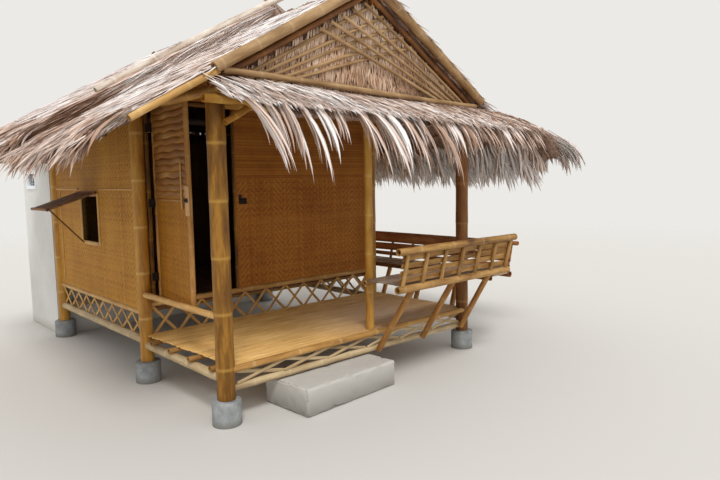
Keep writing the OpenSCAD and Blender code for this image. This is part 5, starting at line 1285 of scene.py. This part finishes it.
def leafWays(root, heading, skin, thick, bendFrom, **ways):
    count = len(root)
    ways.update(root=root, heading=heading, skin=np.tile(skin, (count, 1)), thick=np.full((count, 1), thick),
                bendFrom=np.full(count, bendFrom))
    return ways


def joinWays(*parts):
    return {key: np.concatenate([part[key] for part in parts]) for key in parts[0]}


# How the roof and the awning lie
pitch = house["pitch"]
roof = {"layer": 0.07, "rowsFrom": 0.012, "rowsTo": 2.13, "rowGap": 0.1125, "spacing": 0.0092, "lap": 0.02}
awning = {"backY": -0.1464, "outY": -0.56, "backZ": 2.3783, "rise": 0.4663, "left": -0.19,
          "hipBack": 2.9135, "hipFront": 3.2476}
awningSlope = math.atan(awning["rise"])
awningSkin = (0, -math.sin(awningSlope), math.cos(awningSlope))


def roofSkin(side):
    return (side * math.sin(pitch), 0, math.cos(pitch))


def awningHeight(y):
    return awning["backZ"] + awning["rise"] * (y - awning["backY"])


def hipX(y):  # where the awning meets the right slope of the roof
    part = ramped((awning["backY"] - y) / (awning["backY"] - awning["outY"]))
    return awning["hipBack"] + (awning["hipFront"] - awning["hipBack"]) * part


def frontEdge(side, u):  # where the slope begins towards the front
    if side < 0:
        return np.full_like(u, house["roofFront"])
    part = ramped((u + midX - awning["hipBack"]) / (awning["hipFront"] - awning["hipBack"]))
    behindHip = (u + midX < awning["hipBack"]) * (house["roofFront"] - awning["backY"])
    return awning["backY"] + part * (awning["outY"] - awning["backY"]) + behindHip


def waves(points, size, count=7):  # a smooth seeded unevenness between about -1 and 1
    total = np.zeros(len(points))
    for _ in range(count):
        way = dice.normal(0, 1, 3) / size
        total += np.sin(points @ way + dice.uniform(0, 6.3))
    return total / count ** 0.5 * 0.8


# Short leaves lie in rows down each slope, and fan out a little at the front
slopeLeaf = {"length": (0.3, 0.46), "width": (0.009, 0.016), "bend": (0.0, 0.16), "sway": (-0.1, 0.1),
             "roll": (-0.3, 0.3), "tone": (-0.16, 0.24)}
slopeRow = {"slipU": (-0.03, 0.03), "bury": 0.026, "slipDepth": (-0.006, 0.008), "tilt": (0.045, 0.085),
            "fan": (-0.12, 0.12), "frontFan": 0.5, "middleTone": 0.71, "tonePerMetre": -0.115}


def slopeWays(side, y0, y1, layer, frontFan=slopeRow["frontFan"]):
    parts = []
    for u in np.arange(roof["rowsFrom"], roof["rowsTo"], roof["rowGap"]):
        low = max(y0, float(frontEdge(side, np.array([u]))[0]))
        count = int((y1 - low) / roof["spacing"])
        y = low + (np.arange(count) + spread(0, 1, count)) * (y1 - low) / count
        atU = u + spread(*slopeRow["slipU"], count)
        depth = -layer + slopeRow["bury"] + spread(*slopeRow["slipDepth"], count)
        root = np.stack((midX + side * atU, y, roofHeight(atU, depth)), 1)
        tilt = pitch - spread(*slopeRow["tilt"], count)
        turn = frontFan * (1.0 if side > 0 else 0.2 + 0.8 * min(max((u - 1.75) / 0.3, 0), 1))
        fan = -turn * ramped((low + 0.3 - y) / 0.5) * (y0 < 0) + spread(*slopeRow["fan"], count)
        fan += 0.05 * np.sin(y * 19 + u * 7)
        heading = np.stack((side * np.cos(tilt), fan, -np.sin(tilt)), 1)
        drawn = drawForm(slopeLeaf, count)
        patches = 0.1 * np.sin(y * 3.1 + u * 5 + side) + 0.07 * np.sin(y * 11 + u * 2.3)
        drawn["tone"] += slopeRow["middleTone"] + slopeRow["tonePerMetre"] * u + patches
        parts.append(leafWays(root, heading, roofSkin(side), 0.0028, 0.4, **drawn))
    return joinWays(*parts)


# Leaves that hang over an eave gather into bunches, long in the middle of each
eaveLeaf = {"width": (0.008, 0.017), "bend": (0.3, 0.85), "sway": (-0.12, 0.12), "roll": (-0.5, 0.5),
            "bunchTone": (0.21, 0.46), "tone": (-0.16, 0.2)}
eaves = {
    "u": (1.95, 2.22), "half": (0.05, 0.1), "perHalfMetre": 440, "taper": 0.55, "slipDepth": (-0.012, 0.02),
    "bunchFan": (-0.14, 0.14), "fan": (-0.07, 0.07), "share": (0.75, 1.05), "step": (1.1, 1.7),
    "leftPorch": {"reach": (0.18, 0.36), "bend": (0.3, 0.85)},
    "leftRoom": {"reach": (0.18, 0.34), "bend": (0.3, 0.9)},
    "right": {"reach": (0.3, 0.5), "bend": (0.75, 1.15)},
}


def eaveWays(side, y0, y1, layer, eave):
    parts = []
    y = y0
    while y < y1:
        half = dice.uniform(*eaves["half"])
        count = int(eaves["perHalfMetre"] * half)
        place = spread(-half, half, count)
        far = 1 - eaves["taper"] * np.abs(place) / half
        atU = spread(*eaves["u"], count)
        atY = np.clip(y + place, y0 - 0.02, y1)
        depth = -layer + spread(*eaves["slipDepth"], count)
        root = np.stack((midX + side * atU, atY, roofHeight(atU, depth)), 1)
        corner = -0.55 * ramped((y0 + 0.35 - y) / 0.4) * (y0 < 0.5)
        fan = -place * 1.3 + corner + dice.uniform(*eaves["bunchFan"]) + spread(*eaves["fan"], count)
        heading = np.stack((np.full(count, side * math.cos(pitch)), fan, np.full(count, -math.sin(pitch))), 1)
        over = dice.uniform(*eave["reach"]) * far * spread(*eaves["share"], count)
        if side > 0:
            over *= 1 - 0.35 * ramped((0.1 - y) / 0.5)  # shorter at the front corner
        length = (house["eave"] - atU) / math.cos(pitch) + over
        drawn = drawForm({**eaveLeaf, "bend": eave["bend"]}, count)
        # painted light: the right eave leaves at the front corner are lighter where they hang in shade
        drawn["tone"] += drawn.pop("bunchTone") + 0.3 * (side > 0) * ramped((0.1 - y) / 0.4)
        bendFrom = np.clip((house["eave"] - 0.06 - atU) / length, 0.05, 0.8)
        parts.append(leafWays(root, heading, roofSkin(side), 0.003, bendFrom, length=length, **drawn))
        y += half * dice.uniform(*eaves["step"])
    return joinWays(*parts)


# Short leaves turn down over the left verge and over the step between the two layers of thatch
edgeLeaf = {"length": (0.12, 0.22), "width": (0.009, 0.016), "bend": (0.1, 0.5), "sway": (-0.12, 0.12),
            "roll": (-0.3, 0.3), "tone": (-0.2, 0.24)}
vergeEdge = {"u": (1.88, 2.14), "count": 110, "back": (-0.004, 0.09), "depth": (0.008, 0.032),
             "down": (0.85, 1.1), "out": (-0.25, -0.02), "tone": 0.54, "shade": 0.0, "form": edgeLeaf}
layerEdge = {"u": (0.03, 2.1), "count": 1500, "back": (-0.004, 0.006), "depth": (-0.082, 0.0),
             "down": (0.95, 1.1), "out": (-0.09, 0.02), "tone": 0.54, "shade": 0.42,
             "form": {**edgeLeaf, "length": (0.22, 0.4), "bend": (0.0, 0.08)}}


def edgeWays(side, y, edge):
    count = edge["count"]
    u = spread(*edge["u"], count)
    atY = y + spread(*edge["back"], count)
    root = np.stack((midX + side * u, atY, roofHeight(u, spread(*edge["depth"], count))), 1)
    heading = np.stack((side * spread(*edge["down"], count), spread(*edge["out"], count),
                        -0.58 * spread(*edge["down"], count)), 1)
    drawn = drawForm(edge["form"], count)
    # painted shade: the leaves over the step between the layers darken beyond 1.2 m down the slope
    drawn["tone"] += edge["tone"] - edge["shade"] * ramped((u - 1.2) / 0.3)
    return leafWays(root, heading, (side * 0.4, -0.5, 0.76), 0.0028, 0.15, **drawn)


# Leaves hang inside the right eave. Their pale colour is painted sunlight on leaves in the shade of the roof,
# and they darken towards the front end, painted shade where the lamp reaches them.
underLeaf = {"length": (0.2, 0.3), "width": (0.009, 0.017), "bend": (0.0, 0.3), "sway": (-0.15, 0.15),
             "roll": (-0.4, 0.4), "tone": (-0.26, 0.2)}
underRow = {"count": 1500, "u": (1.98, 2.2), "y": (-0.36, house["roofRear"]), "bury": 0.05,
            "slipDepth": (0, 0.02), "out": (0.1, 0.7), "forward": (-0.3, 0.1)}


def underEave():
    count = underRow["count"]
    u = spread(*underRow["u"], count)
    y = spread(*underRow["y"], count)
    clump = 0.5 + 0.5 * np.sin(y * 23 + 1.4 * np.sin(y * 7))
    depth = underRow["bury"] + spread(*underRow["slipDepth"], count)
    root = np.stack((midX + u, y, roofHeight(u, depth)), 1)
    outward = spread(*underRow["out"], count)
    forward = 0.4 * np.cos(y * 23) + spread(*underRow["forward"], count)
    heading = np.stack((outward, forward, np.full(count, -1.0)), 1)
    drawn = drawForm(underLeaf, count)
    drawn["length"] += 0.16 * clump
    # painted sunlight in the pale tone, and painted shade towards the front end
    drawn["tone"] += 0.9 - 0.4 * ramped((-0.05 - y) / 0.3)
    return leafWays(root, heading, (-1.0, 0, 0.1), 0.0028, 0.3, **drawn)


roofFront, layerY, roofRear = house["roofFront"], house["layerY"], house["roofRear"]
growLeaves("porchThatchLeft", "short", slopeWays(-1, roofFront, layerY, 0))
growLeaves("vergeLeaves", "short", edgeWays(-1, roofFront, vergeEdge))
growLeaves("layerFaceLeaves", "short",
           joinWays(*(edgeWays(side, layerY, layerEdge) for side in (-1, 1))))
growLeaves("porchThatchRight", "short", slopeWays(1, awning["outY"], layerY, 0))
for side, name in ((-1, "roomThatchLeft"), (1, "roomThatchRight")):
    roomWays = slopeWays(side, layerY - roof["lap"], roofRear, roof["layer"], 0)
    growLeaves(name, "short", roomWays)
growLeaves("leftEaveLeaves", "long", joinWays(
    eaveWays(-1, roofFront, layerY, 0, eaves["leftPorch"]),
    eaveWays(-1, layerY, roofRear, roof["layer"], eaves["leftRoom"])))
growLeaves("rightEaveLeaves", "long", joinWays(
    eaveWays(1, awning["outY"], layerY, 0, eaves["right"]),
    eaveWays(1, layerY, roofRear, roof["layer"], eaves["right"])))
growLeaves("underEaveLeaves", "long", underEave())
print("roof leaves grown")


# The awning: short leaves in rows, and over them long ones that hang from the eave in pointed bunches
def awningTurn(x, y):  # how far a leaf turns away from straight out, towards the right end of the awning
    return 0.1 + 0.6 * ramped((x - hipX(y) + 0.5) / 0.5)


rowLeaf = {"length": (0.22, 0.4), "width": (0.008, 0.016), "bend": (0.1, 0.8), "sway": (-0.15, 0.15),
           "roll": (-0.35, 0.35), "tone": (-0.2, 0.24)}
awningRow = {"from": -0.15, "to": -0.5, "gap": 0.062, "spacing": 0.0072, "bury": 0.022, "lift": 0.028,
             "slipY": (-0.02, 0.02), "slipDepth": (-0.006, 0.008), "tilt": (0.02, 0.12), "turn": (-0.3, 0.3),
             "past": (0.02, 0.13)}


def awningRows():
    parts = []
    left = awning["left"]
    for y in np.arange(awningRow["from"], awningRow["to"], -awningRow["gap"]):
        reach = float(hipX(np.array([y]))[0]) - left
        count = int(reach / awningRow["spacing"])
        x = left + (np.arange(count) + spread(0, 1, count)) * reach / count
        x = x[dice.random(count) < 0.25 + 0.75 * ramped((x - left - 0.05) / 0.35)]  # thin at the left end
        count = len(x)
        atY = y + spread(*awningRow["slipY"], count)
        towardsPole = np.cos(math.pi * np.clip(x / width, 0, 0.5)) * ramped((atY + 0.36) / 0.2)
        lift = awningRow["lift"] * towardsPole  # the rows rise to the bent base pole on the left
        height = awningHeight(atY) - awningRow["bury"] + lift + spread(*awningRow["slipDepth"], count)
        tilt = awningSlope - spread(*awningRow["tilt"], count)
        turned = awningTurn(x, y) + spread(*awningRow["turn"], count)
        heading = np.stack((np.sin(turned) * np.cos(tilt), -np.cos(turned) * np.cos(tilt), -np.sin(tilt)), 1)
        # They end early on the left, where the wall shows between the bunches
        past = spread(*awningRow["past"], count) - 0.09 * ramped(2.0 - x)
        drawn = drawForm(rowLeaf, count)
        toEdge = atY - awning["outY"]
        length = np.minimum(drawn.pop("length"), toEdge / math.cos(awningSlope) + past)
        drawn["tone"] += 0.62 - 0.06 * x + 0.1 * np.sin(x * 5 + y * 9)
        parts.append(leafWays(np.stack((x, atY, height), 1), heading, awningSkin, 0.0028,
                              np.clip((toEdge - 0.02) / length, 0.1, 0.8), length=length, **drawn))
    return joinWays(*parts)


# On the left the bunches are long and thin like fingers, on the right they are shorter and closer
fingers = {
    "left": {"half": (0.012, 0.026), "count": (10, 17), "short": (0.22, 0.32), "long": (0.44, 0.66),
             "longShare": 0.75, "before": 0.21, "step": (0.12, 0.18), "bend": (0.84, 1.06),
             "tone": (0.4, 0.62)},
    "right": {"half": (0.018, 0.042), "count": (12, 22), "short": (0.2, 0.3), "long": (0.33, 0.44),
              "longShare": 0.7, "before": 0.2, "step": (0.055, 0.1), "bend": (0.75, 1.0),
              "tone": (0.34, 0.58)},
    "leftUntil": 1.6, "first": 0.1, "last": 0.03, "rootY": (-0.46, -0.2), "taper": 0.45,
    "slipDepth": (-0.012, 0.008), "bunchTurn": (-0.12, 0.16), "turn": (-0.05, 0.05), "share": (0.6, 1.05),
}
# What is None here is filled in from the kind of bunch
fingerLeaf = {"width": (0.007, 0.016), "bunchBend": None, "bend": (-0.1, 0.08), "sway": (-0.06, 0.06),
              "roll": (-0.5, 0.5), "bunchTone": None, "tone": (-0.24, 0.26)}


def awningBunches():
    parts = []
    x = awning["left"] + fingers["first"]
    while x < awning["hipFront"] - fingers["last"]:
        kind = fingers["left" if x < fingers["leftUntil"] else "right"]
        half = dice.uniform(*kind["half"])
        count = int(dice.integers(*kind["count"]))
        place = spread(-half, half, count)
        near = 1 - fingers["taper"] * np.abs(place) / half
        atY = spread(*fingers["rootY"], count)
        atX = np.clip(x + place, awning["left"], hipX(atY) - 0.01)
        root = np.stack((atX, atY, awningHeight(atY) + spread(*fingers["slipDepth"], count)), 1)
        bunchTurn = awningTurn(x, -0.4) - place * 1.6 + dice.uniform(*fingers["bunchTurn"])
        turned = bunchTurn + spread(*fingers["turn"], count)
        heading = np.stack((np.sin(turned) * math.cos(awningSlope), -np.cos(turned) * math.cos(awningSlope),
                            np.full(count, -math.sin(awningSlope))), 1)
        hang = dice.uniform(*kind["long" if dice.random() < kind["longShare"] else "short"])
        over = hang * near * spread(*fingers["share"], count) * (1 - 0.45 * ramped((x - 2.75) / 0.4))
        toEdge = (atY - awning["outY"]) / math.cos(awningSlope)
        length = toEdge + over
        drawn = drawForm({**fingerLeaf, "bunchBend": kind["bend"], "bunchTone": kind["tone"]}, count)
        drawn["bend"] += drawn.pop("bunchBend")
        drawn["sway"] -= place * 1.6
        # painted shade: the last bunches towards the right are darker, where they face the lamp
        drawn["tone"] += drawn.pop("bunchTone") - 0.03 * x - 0.15 * min(max(x - 2.6, 0), 0.5)
        bendFrom = np.clip((toEdge - kind["before"]) / length, 0.02, 0.7)
        parts.append(leafWays(root, heading, awningSkin, 0.003, bendFrom, length=length, **drawn))
        x += dice.uniform(*kind["step"])
    return joinWays(*parts)


growLeaves("awningRowLeaves", "short", awningRows())
growLeaves("awningBunchLeaves", "long", awningBunches())
print("awning leaves grown")

# The gables are closed with leaves that hang in rows behind the fans
gable = {"frontY": -0.0745, "rearY": 3.6025, "lowZ": 2.47, "topZ": 3.2, "rowGap": 0.088, "spacing": 0.0095,
         "footZ": 2.375, "fringeTo": 2.7, "fringeDrop": 0.17, "fringe": (0.17, 0.22),
         "slipX": (-0.005, 0.005), "slipZ": (-0.012, 0.03), "slipOut": (0.0, 0.002), "lean": (-0.1, 0.1)}
gableForm = {"length": (0.11, 0.18), "width": (0.008, 0.015), "sway": (-0.25, 0.25), "roll": (-0.25, 0.25),
             "tone": (-0.22, 0.22)}


def gableWays(faceY, out):
    parts = []
    for z in np.arange(gable["lowZ"], gable["topZ"], gable["rowGap"]):
        half = (house["ridgeZ"] - 0.125 - z) / math.tan(pitch)
        if half < 0.03:
            continue
        count = int(2 * half / gable["spacing"])
        x = midX + np.linspace(-half, half, count) + spread(*gable["slipX"], count)
        atZ = z + spread(*gable["slipZ"], count)
        y = np.full(count, faceY) + out * spread(*gable["slipOut"], count)
        root = np.stack((x, y, atZ), 1)
        lean = 0.22 * np.sin((x - midX) * 2.2) + 0.16 * np.sin(x * 17 + z * 31)
        lean += spread(*gable["lean"], count)
        heading = np.stack((np.sin(lean), np.full(count, out * 0.035), -np.cos(lean)), 1)
        drawn = drawForm(gableForm, count)
        drawn["length"] = np.minimum(drawn["length"], atZ - gable["footZ"])
        drawn["tone"] += 0.5 + 0.75 * (z - gable["lowZ"]) + 0.1 * np.sin(x * 9 + z * 5)
        drawn["bend"] = np.zeros(count)
        parts.append(leafWays(root, heading, (0.0, float(out), 0.0), 0.0022, 0.5, **drawn))
    return joinWays(*parts)


growLeaves("frontGableLeaves", "short", gableWays(gable["frontY"], -1), gableLeaf)
rearWays = gableWays(gable["rearY"], 1)
fringeWays = gableWays(gable["rearY"], 1)
hanging = fringeWays["root"][:, 2] < gable["fringeTo"]
fringeWays = {key: value[hanging] for key, value in fringeWays.items()}
fringeWays["root"][:, 2] -= gable["fringeDrop"]
fringeWays["length"] = spread(*gable["fringe"], int(hanging.sum()))
growLeaves("rearGableLeaves", "short", joinWays(rearWays, fringeWays), gableLeaf)
print("gable leaves grown")

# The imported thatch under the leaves: an uneven slab that follows the slope and curls over the eave
packed = {"rough": 0.012, "lumps": 0.03, "sink": 1.6, "porchThick": 0.042, "roomThick": 0.112, "reach": 2.3,
          "porchTo": 1.149, "drop": {"Left": 0.1, "Right": 0.16}, "curlFrom": 0.03, "curl": 0.09}


def bed(name, node, height, plan, thick, counts=(40, 90), material=roofBedLook):
    bpy.ops.object.select_all(action="DESELECT")
    bpy.ops.mesh.primitive_grid_add(x_subdivisions=counts[0], y_subdivisions=counts[1], size=1)
    slab = bpy.context.object
    points = cornersOf(slab.data) + (0.5, 0.5, 0)
    x, y = plan(points[:, 0], points[:, 1])
    lay = np.stack((x, y, height(x, y)), 1)
    lay[:, 2] += packed["rough"] * waves(lay, packed["lumps"]) - packed["sink"] * packed["rough"]
    setCorners(slab.data, lay)
    if sum(face.normal.z for face in slab.data.polygons) < 0:
        slab.data.flip_normals()
    depth = slab.modifiers.new("depth", "SOLIDIFY")
    depth.thickness = thick
    depth.offset = -1
    alone(slab)
    bpy.ops.object.modifier_apply(modifier="depth")
    bpy.ops.object.mode_set(mode="EDIT")
    bpy.ops.mesh.select_all(action="SELECT")
    bpy.ops.mesh.normals_make_consistent(inside=False)
    bpy.ops.object.mode_set(mode="OBJECT")
    return finishPiece([slab], name, material, replaces=(node,), smooth=50)


def curledHeight(layer, drop):
    def height(x, y):
        u = np.abs(x - midX)
        past = ramped(u - house["eave"] + packed["curlFrom"])
        corner = 1 - 0.85 * ramped((-0.15 - y) / 0.3)  # it stays straight where the awning meets it
        return roofHeight(u, -layer) - drop * corner * (past / packed["curl"]) ** 1.5
    return height


def slopePlan(side, y0, y1):
    def plan(across, along):
        u = across * packed["reach"]
        low = np.maximum(y0, frontEdge(side, u) if y0 < 1 else y0)
        return midX + side * u, low + along * (y1 - low)
    return plan


for side, place, y0 in ((-1, "Left", roofFront), (1, "Right", awning["outY"])):
    bed("porchBed" + place, "porch_thatch", curledHeight(0, packed["drop"][place]),
        slopePlan(side, y0, packed["porchTo"]), packed["porchThick"])
for side, place in ((-1, "Left"), (1, "Right")):
    bed("roomBed" + place, "room_thatch", curledHeight(roof["layer"], packed["drop"][place]),
        slopePlan(side, layerY, roofRear), packed["roomThick"], (40, 130))
awningPack = {"left": 0.12, "slant": 0.2, "short": 0.03, "under": 0.012, "thick": 0.03, "curlFrom": 0.12,
              "curl": 0.1, "drop": 0.05}


def awningPlan(across, along):
    left = awning["left"] + awningPack["left"] + awningPack["slant"] * along
    y = awning["backY"] + along * (awning["outY"] + awningPack["short"] - awning["backY"])
    return left + across * (hipX(y) - left), y


def awningBedHeight(_, y):
    curled = ramped((awning["outY"] + awningPack["curlFrom"] - y) / awningPack["curl"])
    return awningHeight(y) - awningPack["under"] - awningPack["drop"] * curled ** 2


bed("awningBed", "awning_thatch", awningBedHeight, awningPlan, awningPack["thick"], (150, 20), awningBedLook)
print("thatch beds made")

for pattern in (*culms.values(), splitMaster, *leaves.values()):
    bpy.data.objects.remove(pattern, do_unlink=True)

# Studio: a pale floor that fades into a pale background, a large soft lamp and an even sky
studio = {"floorHalf": 26, "floorPlace": (1.3, 2.0, -0.002), "floor": "#cfccc6", "fadeFrom": 8.0,
          "fadeTo": 20.0, "sky": 0.85, "skyColour": "#ffffff", "background": "#eceae6",
          "lampWay": (-0.42, -0.62, 1.0), "lampPower": 1.7, "lampSpread": 18}
world = bpy.data.worlds.new("evenSky")
bpy.context.scene.world = world
world.use_nodes = True
skyTree = world.node_tree
seen = addNode(skyTree, "LightPath").outputs
directly = addNode(skyTree, "Math", {0: seen["Is Camera Ray"], 1: seen["Is Transmission Ray"]},
                   operation="MAXIMUM")
shine = addNode(skyTree, "Background", {"Color": hexColour(studio["skyColour"]), "Strength": studio["sky"]})
backdrop = addNode(skyTree, "Background", {"Color": hexColour(studio["background"]), "Strength": 1.0})
chosen = addNode(skyTree, "MixShader", {0: directly, 1: shine, 2: backdrop})
feedNode(skyTree, skyTree.nodes["World Output"], {"Surface": chosen})
bpy.ops.object.select_all(action="DESELECT")
bpy.ops.mesh.primitive_plane_add(size=studio["floorHalf"] * 2, location=studio["floorPlace"])
floor = bpy.context.object
floor.name = "studioFloor"
floorLook, floorTree, floorShader = newMaterial("paleStudioFloor")
feedNode(floorTree, floorShader, {"Base Color": hexColour(studio["floor"]), "Roughness": 0.9})
spot = addNode(floorTree, "TexCoord").outputs["Object"]
away = addNode(floorTree, "VectorMath", {0: spot}, operation="LENGTH").outputs["Value"]
fading = addNode(floorTree, "MapRange", {"Value": away, "From Min": studio["fadeFrom"],
                                         "From Max": studio["fadeTo"]}, interpolation_type="SMOOTHSTEP")
clear = addNode(floorTree, "BsdfTransparent")
blended = addNode(floorTree, "MixShader", {0: fading, 1: floorShader, 2: clear})
feedNode(floorTree, floorTree.nodes["Material Output"], {"Surface": blended})
floor.data.materials.append(floorLook)
lamp = bpy.data.lights.new("softKey", "SUN")
lamp.energy = studio["lampPower"]
lamp.angle = math.radians(studio["lampSpread"])
key = bpy.data.objects.new("softKey", lamp)
key.rotation_euler = Vector(studio["lampWay"]).to_track_quat("Z", "Y").to_euler()
bpy.context.scene.collection.objects.link(key)
bpy.context.scene.view_settings.view_transform = "Standard"
print("studio made")
